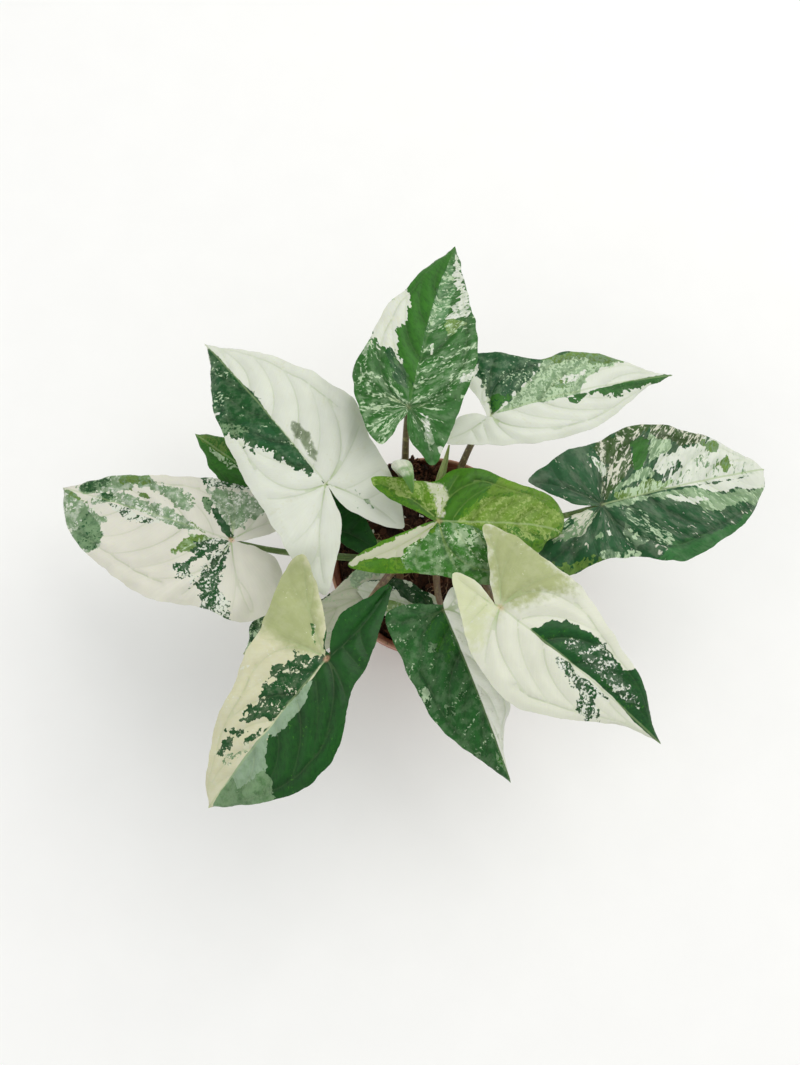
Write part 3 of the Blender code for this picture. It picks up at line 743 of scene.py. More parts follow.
class BladePaint(Paint):
    """A blade's paint: patches of colour with ragged edges and flecks, veins and a paler underside.

    The mesh holds, in millimetres: plan, a point's place beside the junction; flow, coordinates along and
    across the side veins; vein, the distance to the nearest side vein; and patch_00, patch_01 and on, how
    far inside each patch it lies. strength is how strong that vein is, and under is 1 on the underside.
    """

    def __init__(self, leaf):
        super().__init__(leaf + "_blade")
        self.leaf = leaf
        self.plan = self.attribute("plan", "Vector")
        self.flow = self.attribute("flow", "Vector")
        self.vein = self.attribute("vein")
        self.strength = self.attribute("strength")
        self.under = self.attribute("under")
        self.along, across = self.axes(self.plan)[:2]
        self.away = self.sum("ABSOLUTE", across)
        self.heart = self.length(self.stretch(self.plan, (0.7, 1.0, 0.0)))
        self.lines = self.noise(self.stretch(self.flow, (0.12, 2.2, 1.0)), 1.0, 2.0, 0.5)
        self.grain = self.noise(self.plan, 3.2, 3.0, 0.6)

    def flecked(self, ground, fleck, share):
        """A ground colour with crisp flecks, the paler rim round each, and soft clouds."""
        cut = FLECK_MIDDLE - FLECK_SPREAD * NormalDist().inv_cdf(share)
        rim = self.span(self.flecks, cut - FLECK_RIM[0], cut - FLECK_RIM[1], 0.0, HALF_TONE)
        crisp = self.span(self.flecks, cut - FLECK_EDGE, cut + FLECK_EDGE)
        most = SOFT_GROUND.get(ground, SOFT.get(fleck, min(SOFT_MOST, SOFT_LEAST + share)))
        shown = self.sum("MAXIMUM", self.sum("MAXIMUM", crisp, rim), self.times(self.cloud, most))
        return self.mix(shown, TINTS[ground], TINTS[fleck])

    def patched(self, ground, fleck, share, patches):
        """The leaf's own colours with its patches over them, from the lowest up."""
        streaks = self.plan
        if self.leaf in STREAKS:
            streaks = self.stretch(self.flow, (STREAKS[self.leaf], 1.0, 1.0))
        ragged = self.sum("MULTIPLY_ADD", self.noise(streaks, 0.42, 2.6, 0.55), RAGGED, -RAGGED / 2)
        ragged = self.times(ragged, self.span(self.away, 0.4, 3.0, 0.12, 1.0))
        fine = self.noise(streaks, 1.0, 2.2, 0.55, 0.5)
        broad = self.noise(self.stretch(self.flow, (0.35, 1.0, 1.0), (31, 17, 0)), 0.3, 2.0, 0.5)
        self.flecks = self.sum("ADD", self.times(fine, 0.55), self.times(broad, 0.45))
        cloud = self.noise(self.stretch(streaks, (1.0, 1.0, 1.0), (7, 53, 0)), 0.36, 3.5, 0.6)
        self.cloud = self.span(cloud, 0.42, 0.66)
        base = self.flecked(ground, fleck, share)
        for n, patch in enumerate(patches):
            depth = self.sum("MULTIPLY_ADD", ragged, patch.ragged, self.attribute(f"patch_{n:02d}"))
            own = self.flecked(patch.ground, patch.fleck, patch.share)
            base = self.mix(self.span(depth, -patch.soft, patch.soft), base, own)
        return base

    def toned(self, base, light):
        """Broad lighter and darker parts, strongest on green, and fine lines along the side veins."""
        tone = self.span(self.noise(self.plan, 0.09, 2.0, 0.5), 0.3, 0.7, -0.14, 0.12, smooth=False)
        tone = self.times(tone, self.sum("MULTIPLY_ADD", light, -0.7, 1.0))
        base = self.shade(base, self.sum("ADD", tone, 1.0))
        return self.shade(base, self.span(self.lines, 0.3, 0.7, 0.98, 1.02, smooth=False))

    def crease_shaded(self, base, light):
        """Painted shade in the valleys along the side veins, and darker cells between them away from the
        junction.
        """
        # Painted shade: the colour darkens along the valleys of the side veins, most where the leaf is green
        valley = self.times(self.span(self.vein, 0.2, 2.2, 0.32, 0.0), self.strength)
        valley = self.times(valley, self.sum("SUBTRACT", 1.15, light))
        shadow = self.noise(self.stretch(self.flow, (0.6, 1.0, 1.0), (83, 11, 0)), 0.8, 4.0, 0.65)
        shadow = self.times(self.span(shadow, 0.5, 0.58), self.span(self.heart, 2.0, 9.0))
        shadow = self.times(shadow, self.sum("MULTIPLY_ADD", light, -0.2, 0.2))
        return self.shade(base, self.sum("SUBTRACT", 1.0, self.sum("ADD", valley, shadow)))

    def veined(self, base, light):
        """Side veins, plainest near the junction and on light parts, and the midrib."""
        thin = self.times(self.span(self.vein, 0.1, 0.4, 1.0, 0.0), self.strength)
        drawn = self.span(self.heart, 1.0, 9.0, JUNCTION_PAINT, SIDE_VEIN_PAINT)
        seen = self.sum("MAXIMUM", light, GREEN_VEINS.get(self.leaf, GREEN_VEIN))
        tint = TINTS["limepale"] if self.leaf in GREEN_VEINS else TINTS["vein"]
        base = self.mix(self.times(thin, seen, drawn), base, tint)
        midrib = self.times(self.span(self.away, 0.15, 0.5, 1.0, 0.0), self.span(self.along, -0.5, 0.5))
        return self.mix(self.times(midrib, MIDRIB_PAINT.get(self.leaf, MIDRIB_SHARE)), base, TINTS["vein"])

    def relief(self):
        """The skin's grain, its fine lines and a crease over each side vein."""
        normal = self.bump(self.grain, 0.00008, 0.6)
        normal = self.bump(self.lines, 0.00006, 0.3, normal)
        crease = self.times(self.span(self.vein, 0.0, 0.6, 1.0, 0.0), self.strength)
        return self.bump(self.sum("SUBTRACT", 1.0, crease), 0.0002, 0.8, normal)


def leaf_material(leaf):
    """The paint of a leaf's blade."""
    p = BladePaint(leaf.name)
    base = p.patched(*COLOURS[leaf.name])
    light = p.span(p.lightness(base), 0.08, 0.5)
    base = p.veined(p.crease_shaded(p.toned(base, light), light), light)
    base = p.mix(p.span(p.heart, 0.3, 1.3, BLUSH.get(leaf.name, BLUSH_SHARE), 0.0), base, TINTS["rosy"])
    base = p.mix(p.span(p.under, 0.45, 0.55, 0.0, UNDERSIDE), base, TINTS["back"])
    matt = p.span(p.under, 0.4, 0.6, 0.0, 0.18)
    rough = p.sum("ADD", p.span(p.grain, 0.3, 0.7, 0.36, 0.5, smooth=False), matt)
    p.set(Base_Color=base, Roughness=rough, Normal=p.relief(), Subsurface_Weight=0.12,
          Subsurface_Scale=SKIN_DEPTH, Specular_IOR_Level=0.22)
    p.shader.inputs["Subsurface Radius"].default_value = (0.8, 1.0, 0.4)
    return p.finish


def stem_material(name):
    """A stem: fine stripes along it and light spots."""
    p = Paint(name)
    body, light, shadow = STEM_TINTS[name]
    run = p.attribute("stem", "Vector")
    stripes = p.noise(p.stretch(run, (0.05, 4.0, 1.0)), 1.4, 3.0, 0.6)
    spots = p.noise(p.place(), 420.0, 3.0, 0.6)
    base = p.mix(p.span(stripes, 0.38, 0.62), shadow, body)
    base = p.mix(p.span(spots, 0.5, 0.72, 0.0, 0.7), base, light)
    p.set(Base_Color=base, Roughness=p.span(spots, 0.3, 0.7, 0.35, 0.5), Normal=p.bump(stripes, 0.00015, 0.6),
          Subsurface_Weight=0.1, Subsurface_Scale=SKIN_DEPTH)
    return p.finish


def roll_material(name, tints):
    """A rolled leaf, from the foot up: stem colour, the roll's colour and its tip's; one side is darker."""
    low, middle, tip, side = tints
    p = Paint(name + "_skin")
    run = p.attribute("run")
    roll = p.attribute("roll", "Vector")
    veins = p.noise(p.stretch(roll, (0.25, 9.0, 9.0)), 1.2, 3.0, 0.6)
    mottle = p.noise(p.place(), 260.0, 3.0, 0.6)
    run = p.sum("MULTIPLY_ADD", p.sum("SUBTRACT", mottle, 0.5), 0.12, run)
    base = p.mix(p.span(run, 0.5, 0.66), low, middle)
    base = p.mix(p.span(run, 0.86, 0.92), base, tip)
    base = p.mix(p.span(p.axes(roll)[2], 0.0, 0.75, 0.0, 0.75), base, side)
    base = p.shade(base, p.span(veins, 0.35, 0.65, 0.88, 1.06))
    p.set(Base_Color=base, Roughness=p.span(mottle, 0.3, 0.7, 0.35, 0.5), Normal=p.bump(veins, 0.0002, 0.6),
          Subsurface_Weight=0.12, Subsurface_Scale=SKIN_DEPTH)
    return p.finish


# Each leaf's ground colour, fleck colour and share of flecks, and its patches from the lowest up
COLOURS = {
    "leaf_top": ("mid", "pale", 0.09, [
        Patch("jade", "pale", 0.3, 1.0, [(59, 0.5), (59.5, -2), (50.5, -4.5), (34.5, -5), (28.5, -1),
            (28, 1), (37, 1), (49, 1)]),
        Patch("mid", "pale", 0.26, 1.5, [(6, 19.5), (8, 15.5), (8, 9), (4.5, 5), (1.5, 0.5), (-1.5, 0),
            (-6.5, 1), (-14.5, 2.5), (-15.5, 6.5), (-13.5, 11), (-6, 14.5), (-0.5, 19)]),
        Patch("mid", "pale", 0.22, 1.5, [(14.5, 1), (21.5, -4), (23.5, -11), (28.5, -16), (23.5, -18.5),
            (13, -16), (5, -12.5), (1.5, -4.5), (1, -1.5)]),
        Patch("white", "chalk", 0.3, 2.0, [(46.5, 12.5), (38.5, 16.5), (29, 19.5), (22, 20), (19.5, 16.5),
            (18, 12.5), (18, 10), (14, 7), (15, 5), (29, 4.5), (41.5, 7.5)]),
        Patch("dark", "pale", 0.1, 1.5, [(18.5, 11.5), (14, 7), (12.5, 4), (5.5, 1.5), (5, 4.5), (11, 9),
            (17.5, 12.5)]),
        Patch("fresh", "dark", 0.03, 1.2, [(71.5, -0.5), (65.5, 2.5), (60, 6.5), (53.5, 9.5), (47, 12),
            (43, 12.5), (41, 10), (38, 9), (34, 9), (29, 8.5), (27, 11), (25, 10.5), (22.5, 9),
            (20.5, 9.5), (17.5, 8), (14.5, 5.5), (10, 3), (0.5, -0.5), (6, 0), (14, 0.5), (24.5, 1),
            (37, 1.5), (49.5, 1.5), (59.5, 0.5), (70, -1)]),
        Patch("white", "sage", 0.15, 1.5, [(67.5, -1), (59.5, -2), (53, -3.5), (48, -6.5), (47, -10),
            (57, -5.5)]),
        Patch("white", "sage", 0.3, 1.5, [(49, -10), (47.5, -8), (41, -6), (35.5, -5), (34.5, -8.5),
            (39, -11), (42.5, -11.5)]),
        Patch("moss", "pale", 0.3, 1.0, [(34, -5), (29.5, -6), (27.5, -7), (31.5, -9.5), (35.5, -12),
            (36.5, -8)]),
        Patch("white", "pale", 0.3, 0.6, [(23.5, -2), (24, -3), (20.5, -3.5), (19.5, -2.5)]),
        Patch("white", "sage", 0.3, 1.2, [(20.5, -19.5), (18, -17.5), (14.5, -14.5), (12.5, -15.5),
            (12.5, -18), (16, -19.5)]),
        Patch("sage", "white", 0.3, 1.2, [(-1.5, -5), (-2, -7.5), (-9, -11), (-13.5, -12), (-9.5, -8)]),
        Patch("white", "sage", 0.2, 0.5, [(-11, -13), (-10.5, -15), (-13.5, -16.5), (-14, -15)]),
        Patch("sage", "white", 0.2, 0.8, [(19, 21), (19, 19), (15.5, 18.5), (13, 19.5), (15, 21)]),
    ]),
    "leaf_upper_right": ("white", "chalk", 0.08, [
        Patch("sage", "pale", 0.4, 1.2, [(25, 15.5), (21.5, 10.5), (17, 8), (11, 4.5), (6, 1.5),
            (0.5, -0.5), (10, -0.5), (17.5, -0.5), (28.5, -1.5), (35, -1), (36.5, 2), (41.5, 5), (49, 7),
            (59, 8), (53, 13.5), (42, 16.5), (29.5, 18)]),
        Patch("bluegreen", "pale", 0.14, 1.2, [(3.5, 26), (1.5, 21), (0, 15.5), (1, 9.5), (1, 5),
            (0, -0.5), (5, 1.5), (10.5, 5), (17, 8.5), (22.5, 11), (25.5, 14.5), (24.5, 16), (19, 20),
            (12.5, 22)]),
        Patch("fresh", "dark", 0.2, 1.0, [(1.5, 6), (3.5, 6.5), (7, 4.5), (10.5, 5.5), (4.5, 1.5),
            (0.5, 0)]),
        Patch("white", "sage", 0.2, 1.0, [(26.5, 3.5), (30, 6), (35.5, 6.5), (40.5, 7.5), (36, 4),
            (30, 3)]),
        Patch("moss", "sage", 0.4, 1.5, [(29, 18), (26.5, 15), (31, 12), (39.5, 13), (43, 11.5), (44, 8),
            (48, 8.5), (58.5, 8), (54, 13), (48, 15), (39.5, 16.5)]),
        Patch("moss", "sage", 0.4, 1.5, [(24.5, 4), (27.5, 2.5), (33, 2), (33, 3.5), (29, 5)]),
        Patch("dark", "sage", 0.1, 0.8, [(27, 17.5), (29.5, 18), (39, 16.5), (37.5, 15.5), (32, 15),
            (27.5, 15.5)]),
        Patch("mid", "sage", 0.06, 1.4, [(17, -0.5), (27.5, -1.5), (39, -1), (56, 0), (70.5, 0.5),
            (78, 1), (76.5, -1.5), (71, -2.5), (61.5, -2.5), (55, -3.5), (49, -5), (44.5, -4), (40.5, -2),
            (38, -2.5), (33, -4), (30.5, -3.5), (28, -1.5)]),
    ]),
    "leaf_right": ("bluegreen", "greywhite", 0.055, [
        Patch("olive", "greywhite", 0.35, 1.5, [(2, 21.5), (12, 24), (22, 27.5), (27.5, 26.5), (27.5, 23.5),
            (20.5, 21), (17.5, 17.5), (16, 10.5), (8.5, 6), (1.5, 1), (1, 4), (5.5, 12.5), (4, 17.5)]),
        Patch("white", "sage", 0.3, 1.0, [(-0.5, 19.5), (3, 16.5), (5, 12.5), (4, 9.5), (2.5, 13.5)]),
        Patch("freshmid", "sage", 0.02, 1.0, [(17.5, 19.5), (22, 21), (25, 19), (23, 14.5), (19, 10), (16, 9),
            (15.5, 13)]),
        Patch("sage", "pale", 0.4, 1.2, [(26, 22), (29.5, 18.5), (33.5, 18), (33, 14), (26, 12),
            (20.5, 10), (17, 8.5), (8.5, 6), (3.5, 2), (9, 4), (18.5, 5), (24, 6), (20.5, 9.5), (23, 14),
            (25, 18)]),
        Patch("olive", "greywhite", 0.3, 1.5, [(27, 26.5), (35, 23.5), (42, 23), (50, 15.5), (45, 14),
            (40, 13.5), (34.5, 14.5), (32, 18), (27, 20)]),
        Patch("white", "sage", 0.12, 1.5, [(34.5, 14), (27, 11.5), (23, 9.5), (23, 6), (26, 3),
            (23.5, 0.5), (35, -1), (47, -1.5), (68.5, -2), (70, 1.5), (59.5, 11), (50, 16.5), (44.5, 14),
            (38.5, 13.5)]),
        Patch("moss", "pale", 0.4, 1.2, [(4.5, 2), (10.5, 3.5), (18.5, 5), (24.5, 3.5), (29.5, 2.5),
            (25, 0.5), (17, 0), (6.5, 0)]),
        Patch("dark", "white", 0.3, 1.0, [(23.5, 3), (27, 6), (33, 9), (34.5, 6.5), (28, 4),
            (24.5, 2.5)]),
        Patch("sage", "moss", 0.3, 1.2, [(45, 14.5), (49.5, 14.5), (52.5, 12), (50.5, 9), (45, 11)]),
        Patch("sage", "white", 0.4, 1.2, [(40.5, 8), (45.5, 11), (44.5, 5), (40.5, 4.5)]),
        Patch("sage", "moss", 0.5, 1.2, [(47.5, 4.5), (53, 7.5), (55.5, 3), (51, 1)]),
        Patch("sage", "pale", 0.25, 1.5, [(0.5, -0.5), (13, -0.5), (26, -1), (35, -1.5), (41, -4),
            (49, -6.5), (52.5, -5), (60.5, -7), (68.5, -6), (65, -11), (59.5, -13), (54, -11),
            (50, -10.5), (45, -11.5), (40, -11.5), (37, -10), (36.5, -7.5), (25.5, -3), (12.5, -2),
            (2, -2)]),
        Patch("white", "pale", 0.2, 1.0, [(24, -2.5), (32, -4), (40, -7), (35, -7.5), (28.5, -5.5)]),
        Patch("white", "sage", 0.02, 0.8, [(37, -1.5), (47, -2), (64, -1.5), (69, -1.5), (66.5, -6.5),
            (59, -7), (53.5, -5), (48.5, -6), (42.5, -4.5)]),
        Patch("white", "pale", 0.25, 0.8, [(7.5, -9), (10, -8.5), (12, -11.5), (10, -11.5)]),
        Patch("pale", "bluegreen", 0.4, 1.2, [(13, -9.5), (17.5, -12), (22, -17.5), (21.5, -21.5),
            (17.5, -18.5), (12.5, -13.5)]),
        Patch("white", "pale", 0.25, 0.8, [(-2.5, -8.5), (-0.5, -9.5), (-0.5, -11.5), (-2.5, -11.5)]),
        Patch("sage", "pale", 0.2, 0.8, [(-7, -10.5), (-3.5, -9.5), (-3.5, -11), (-6.5, -12)]),
        Patch("bluegreen", "pale", 0.45, 1.0, [(-6.5, -16), (1, -17.5), (10.5, -20.5), (8.5, -23.5),
            (-3, -21.5), (-7, -18.5)]),
        Patch("bluegreen", "pale", 0.3, 1.0, [(8, -4), (14.5, -7), (14.5, -15.5), (7.5, -18),
            (3.5, -13)]),
        Patch("leafgreen", "pale", 0.01, 1.2, [(12, -24), (22, -19.5), (33.5, -20), (48.5, -18), (59, -14),
            (66, -10.5), (61, -17.5), (47, -24), (31.5, -28), (19, -28)]),
        Patch("greywhite", "sage", 0.4, 1.2, [(-12, 1.5), (-7.5, 1), (-3.5, -2.5), (-5.5, -5.5),
            (-9, -8.5), (-13.5, -9), (-19.5, -8.5), (-25, -11), (-21, -7.5), (-13, -4)]),
        Patch("bluegreen", "pale", 0.25, 1.0, [(-17, -2), (-13, -1), (-13, -4), (-17.5, -6),
            (-22.5, -7.5)]),
        Patch("moss", "dark", 0.4, 1.5, [(-24.5, -15.5), (-19.5, -21.5), (-11.5, -21), (-5, -19.5),
            (-7.5, -17.5), (-17.5, -17.5)]),
    ]),
    "leaf_centre": ("lime", "leaflime", 0.3, [
        Patch("limelight", "limepale", 0.3, 1.5, [(5.5, -0.5), (11.5, 4.5), (15.5, 8.5), (27.5, 10.5),
            (33, 10), (38, 8), (46, 7.5), (43.5, 1), (37.5, -5.5), (30, -5.5), (22, -2.5), (13.5, -1.5)]),
        Patch("limelight", "lime", 0.15, 1.2, [(19.5, 15.5), (16.5, 12), (14.5, 8.5), (19, 10),
            (27.5, 10), (32, 13.5), (24.5, 17)]),
        Patch("leaflime", "fresh", 0.1, 1.5, [(-3, 14), (3, 18.5), (11, 20), (19, 18), (20, 15.5),
            (16.5, 12), (14, 8.5), (9.5, 4.5), (5.5, -0.5), (-0.5, 0), (1, 10)]),
        Patch("lime", "moss", 0.35, 1.5, [(31.5, 13.5), (37.5, 13.5), (51.5, 14.5), (46, 7), (37, 7.5),
            (32, 9.5)]),
        Patch("leaflime", "limepale", 0.4, 1.5, [(22.5, -1), (30, -2), (37.5, -2), (43.5, 3.5),
            (42, -1.5), (37.5, -5.5), (25, -4.5)]),
        Patch("fresh", "mist", 0.12, 1.2, [(-0.5, 0), (5.5, -0.5), (13.5, -2), (19.5, -5),
            (19.5, -22.5), (14.5, -23), (4, -22.5), (-3.5, -21), (-10.5, -18.5), (-12.5, -14), (-11, -10),
            (-7, -7), (-2, -3)]),
        Patch("mist", "fresh", 0.3, 1.2, [(5, -3.5), (11.5, -2), (14, -6), (11, -8.5), (7, -7.5)]),
        Patch("leaflime", "lime", 0.4, 1.6, [(-26.5, -15), (-20, -13), (-13, -13.5), (-11, -17.5),
            (-3.5, -19.5), (4, -21), (9.5, -21.5), (4, -24), (-6.5, -22), (-15.5, -20), (-23.5, -17.5)]),
        Patch("lime", "limepale", 0.42, 1.6, [(-24.5, 15.5), (-17, 15.5), (-10.5, 15), (-3, 14), (0.5, 5),
            (0, 1), (-2, 2), (-8.5, 3.5), (-18, 7.5), (-22.5, 12)]),
        Patch("leaflime", "lime", 0.3, 1.4, [(-22, 12), (-16.5, 10.5), (-10, 7.5), (-1, 1.5), (-8.5, 3),
            (-18, 7)]),
        Patch("greywhite", "limepale", 0.3, 1.0, [(-5, 14), (0.5, 13), (3, 10), (1.4, 1), (-1, 1.5),
            (-1.2, 6.5), (-4, 11)], soft=0.5),
        Patch("leaflime", "lime", 0.2, 1.0, [(-29.5, -13), (-23, -9.5), (-16, -5), (-8, -1.5), (-1, 1),
            (-1, -0.5), (-8, -3), (-16, -7), (-20.5, -10), (-28, -13.5)]),
        Patch("greige", "pale", 0.03, 0.8, [(-30.5, -17), (-28.5, -13.5), (-20.5, -10), (-16, -7.5),
            (-8, -3), (-0.5, 0), (-2, -3), (-7, -7), (-11, -10), (-12.5, -13), (-20, -13.5), (-27, -15.5),
            (-28.5, -17.5)]),
    ]),
    "leaf_upper_left": ("white", "chalk", 0.08, [
        Patch("dark", "pale", 0.045, 2.0, [(74.5, 0.5), (65, 6), (49, 14.5), (40.5, 18), (36, 15),
            (32, 13), (29.5, 12), (28.5, 13.5), (26, 12.5), (24.5, 9.5), (22, 8), (18.5, 9), (16, 6.5),
            (12.5, 5.5), (9, 4), (7, 2.5), (4.5, 0.5), (0.5, 0.5), (6, 0.5), (19, 0), (31.5, 0),
            (44.5, -1), (55, 0), (65.5, -0.5), (73, 0)]),
        Patch("greyolive", "white", 0.12, 0.5, [(26.5, -5), (23.5, -6.3), (19.5, -5.2), (18.2, -3.2),
            (20, -2), (23.5, -2.6)], soft=0.5),
        Patch("greyolive", "white", 0.12, 0.5, [(21, -5.2), (18.5, -6.8), (11, -4.4), (8.5, -2.2), (12, -1.4),
            (17.5, -2.6)], soft=0.5),
        Patch("sage", "white", 0.45, 0.6, [(-8.5, -6.5), (-10.5, -7), (-10, -6)]),
        Patch("sage", "white", 0.35, 0.6, [(-12.5, -7), (-14, -8), (-17.5, -7.5), (-15, -6.5)]),
        Patch("sage", "white", 0.4, 0.8, [(-12, -4), (-14.5, -4), (-14, -3)]),
        Patch("bluegreen", "pale", 0.12, 1.0, [(71.5, 2), (66.5, 2), (44, 11), (44, 14), (49, 14.5),
            (65, 6)]),
        Patch("bluegreen", "pale", 0.05, 1.0, [(38.5, 10.5), (32.5, 4), (21.5, 1.5), (9, 1), (13.5, 4.5),
            (23.5, 7), (33.5, 12)]),
        Patch("sage", "dark", 0.3, 1.2, [(43.5, 17.5), (39, 18.5), (36, 15), (33, 13), (33, 9.5), (37, 10),
            (41, 13.5)]),
    ]),
    "leaf_left": ("warmwhite", "chalk", 0.05, [
        Patch("sage", "white", 0.14, 1.6, [(66, -1.5), (62, -7), (53, -11.5), (43.5, -14), (37.5, -14),
            (35, -11.5), (32.5, -11), (26.5, -12.5), (21, -11.5), (18, -8), (19.5, -5), (24, -5),
            (29, -7.5), (36.5, -8.5), (42, -8), (48, -4.5), (56, -1.5), (61.5, 0.5)]),
        Patch("dark", "sage", 0.3, 1.4, [(65, -2), (61, -6.5), (53, -8.5), (52.5, -6), (56.5, -2.5),
            (62, 0)]),
        Patch("moss", "sage", 0.3, 1.4, [(50, -11), (39, -14), (37.5, -11.5), (43.5, -8), (48.5, -7.5)]),
        Patch("sage", "white", 0.24, 1.4, [(58.5, 2), (54, -2.5), (46, -4.5), (36, -4), (29.5, -4),
            (23, -3.5), (17, -1.5), (11, 0), (15.5, 1.5), (25.5, 2), (34, 1), (41, 0.5), (48, 0),
            (55.5, 3)]),
        Patch("dark", "sage", 0.3, 0.8, [(54.5, -2), (50, -3), (48.5, -1), (52.5, 1.5)]),
        Patch("dark", "white", 0.55, 0.8, [(50, 1), (42.5, 0.5), (36.5, 2), (27.5, 1.5), (27.5, 3),
            (34, 4.5), (40, 5), (47, 3)]),
        Patch("moss", "sage", 0.3, 0.7, [(44, -6.5), (37.5, -6.5), (34, -5.5), (36.5, -4.5)]),
        Patch("sage", "white", 0.2, 1.4, [(73, 0), (65.5, 1.5), (57.5, 4), (50, 6), (47, 6.5), (49, 9),
            (46.5, 14.5), (46.5, 18), (50, 21), (55.5, 21.5), (64, 13.5)]),
        Patch("sage", "bluegreen", 0.2, 1.2, [(61, 7), (56.5, 6), (48.5, 10.5), (46.5, 15), (48.5, 19.5),
            (55.5, 20), (60, 16.5), (57, 11.5)]),
        Patch("moss", "sage", 0.4, 0.8, [(72, 0), (66, 0.5), (59, 3), (67, 2.5)]),
        Patch("dark", "white", 0.4, 1.4, [(21.5, -20), (13, -21.5), (1, -22.5), (0, -20), (6.5, -18.5),
            (11.5, -16.5), (14.5, -15)]),
        Patch("sage", "white", 0.22, 1.4, [(15.5, -15), (6.5, -17.5), (-1.5, -19), (-7.5, -16.5),
            (-7.5, -13), (-2.5, -7.5), (-0.5, -4), (3, -3.5), (8, -8), (12, -11.5)]),
        Patch("sage", "dark", 0.35, 1.0, [(16, -11.5), (13.5, -12.5), (11, -9.5), (11, -6.5), (14, -8)]),
        Patch("dark", "white", 0.06, 1.0, [(0.5, 0), (4.5, -2), (9.5, -6.5), (11.5, -9.5), (9.5, -9.5),
            (5.5, -6.5), (1.5, -3.5), (-0.5, -1)]),
        Patch("moss", "pale", 0.25, 1.0, [(5, 1.5), (10.5, 1.5), (15, 3.5), (17.5, 7), (19.5, 12),
            (14.5, 9.5), (10, 7.5), (7, 3.5)]),
        Patch("moss", "white", 0.2, 0.4, [(18.5, -2.5), (15.5, -1.5), (8.5, 1), (1, 0), (8, 1.5),
            (15, 0)]),
        Patch("dark", "white", 0.2, 1.8, [(1, 0.5), (7.5, 2), (11.5, 4), (12, 8), (11, 9.5), (12, 13),
            (15.5, 15), (16.5, 18), (12, 19.5), (9, 18), (10.5, 13), (7.5, 9.5), (3.5, 5)]),
        Patch("dark", "white", 0.36, 1.8, [(0.5, 0.5), (3, 5), (6, 8.5), (4.5, 11), (5.5, 14), (7.5, 18),
            (7, 20.5), (2.5, 20), (3.5, 23), (1.5, 28), (-5, 29.5), (-10, 29), (-9, 25), (-6, 21),
            (-2, 18), (-1.5, 12), (-0.5, 6), (0, 2)]),
    ]),
    "leaf_back_left": ("fresh", "freshmid", 0.3, [
        Patch("moss", "fresh", 0.45, 1.2, [(65, 0), (57.5, -4), (50.5, -7.5), (38.5, 0), (41, 1), (49, 2),
            (58, 1)]),
        Patch("pale", "fresh", 0.3, 1.0, [(56.5, 1), (48, 1), (40.5, 0), (38.5, 1.5), (42.5, 3.5),
            (51, 2.5)]),
        Patch("deep", "fresh", 0.04, 1.0, [(4.5, -13.5), (0, -13.5), (-17, -15), (-26.5, -7.5),
            (-14.5, 10), (-1, 12.5)]),
    ]),
    "leaf_front_left": ("beige", "chalk", 0.05, [
        # The lobe's olive tint is painted shade of what lies beneath, seen through it
        Patch("olivecream", "cream", 0.02, 1.0, [(-22, -31), (-14, -33), (0, -28), (7, -25), (5, -10),
            (0, -1), (-5, -6), (-13, -14), (-19, -22)], soft=3.0),
        Patch("deep", "fresh", 0.04, 0.7, [(0, 0), (-2, -3), (-11.5, -10), (-20, -7), (-35, 0.5),
            (-23, 6.5), (-12, 12.5), (-4.5, 14), (4.5, 16), (14.5, 22.5), (26, 25), (38.5, 23.5),
            (49.5, 16.5), (52, 12), (50, 8), (44, 4), (36, 2), (29, 1.5), (22, 1.2), (12, 1), (5, 0.5)]),
        Patch("greysage", "sage", 0.01, 0.7, [(7.5, 0.6), (15, 4.5), (21.5, 4.5), (25, 4), (30.5, 3.4),
            (31, 0.4), (24, 0), (15, 0)]),
        Patch("greysage", "sage", 0.01, 0.7, [(30, 0.4), (33, 2.6), (36.5, 4.6), (40.5, 8), (46, 10),
            (53, 6), (54, 0), (41.5, -0.5), (35, -0.5)]),
        Patch("sage", "mid", 0.03, 0.9, [(40.5, 7), (43.5, 13.5), (49.5, 18), (59, 9), (65, 1),
            (56, 0), (50, 0.5), (52, 4.5), (46, 6.5)]),
        Patch("dark", "cream", 0.14, 1.8, [(-0.5, 0), (6, -9.5), (7.5, -8), (9.5, -8.5), (13.5, -12.5),
            (14.5, -10.5), (16, -8), (20, -10.5), (23.5, -8.5), (29, -10), (33.5, -9.5), (33, -7),
            (28.5, -3), (28, -0.5), (21.5, 0), (14, 0.5), (4.5, 0)]),
        Patch("dark", "cream", 0.2, 1.8, [(38, -10.5), (36.5, -7.5), (37, -5), (31.5, -1), (28.5, 0),
            (33.5, -0.5), (38, -3), (39, -7.5), (44, -6.5), (47, -8), (43, -9.5)]),
        Patch("sage", "cream", 0.4, 1.6, [(49.5, -5), (45, -5), (38, -2), (39.5, -0.5), (44.5, -2.5)]),
        Patch("fresh", "cream", 0.1, 0.6, [(-5.5, -12), (-6, -10.5), (-2.5, -7), (0, -4), (-1, -6.5)]),
    ]),
    "leaf_front": ("frontgreen", "pale", 0.06, [
        # Its white half has the lighter white: painted light, where this half lies in shade
        Patch("bright", "chalk", 0.05, 0.5, [(64, 0.3), (30, 0.3), (0, 0.3), (-3, 1), (-6, 4), (-9, 8),
            (0, 14), (20, 16), (40, 12), (58, 5)]),
        Patch("pale", "deep", 0.4, 1.0, [(21, -17), (22, -15.5), (28, -16), (30, -18), (26.5, -18.5)]),
        Patch("sage", "deep", 0.4, 0.8, [(27, -6), (28, -4.5), (30.5, -5), (30.5, -7)]),
        Patch("sage", "deep", 0.5, 0.8, [(30, -12), (31, -9), (34, -10), (33.5, -12.5)]),
        Patch("sage", "deep", 0.3, 0.8, [(48.5, -8), (49, -6.5), (51.5, -7), (51, -8.5)]),
        Patch("frontgreen", "fresh", 0.3, 1.2, [(1.5, -5), (0, 0), (13.5, -1.5), (17.5, -5.5), (12.5, -7),
            (7.5, -10.5)]),
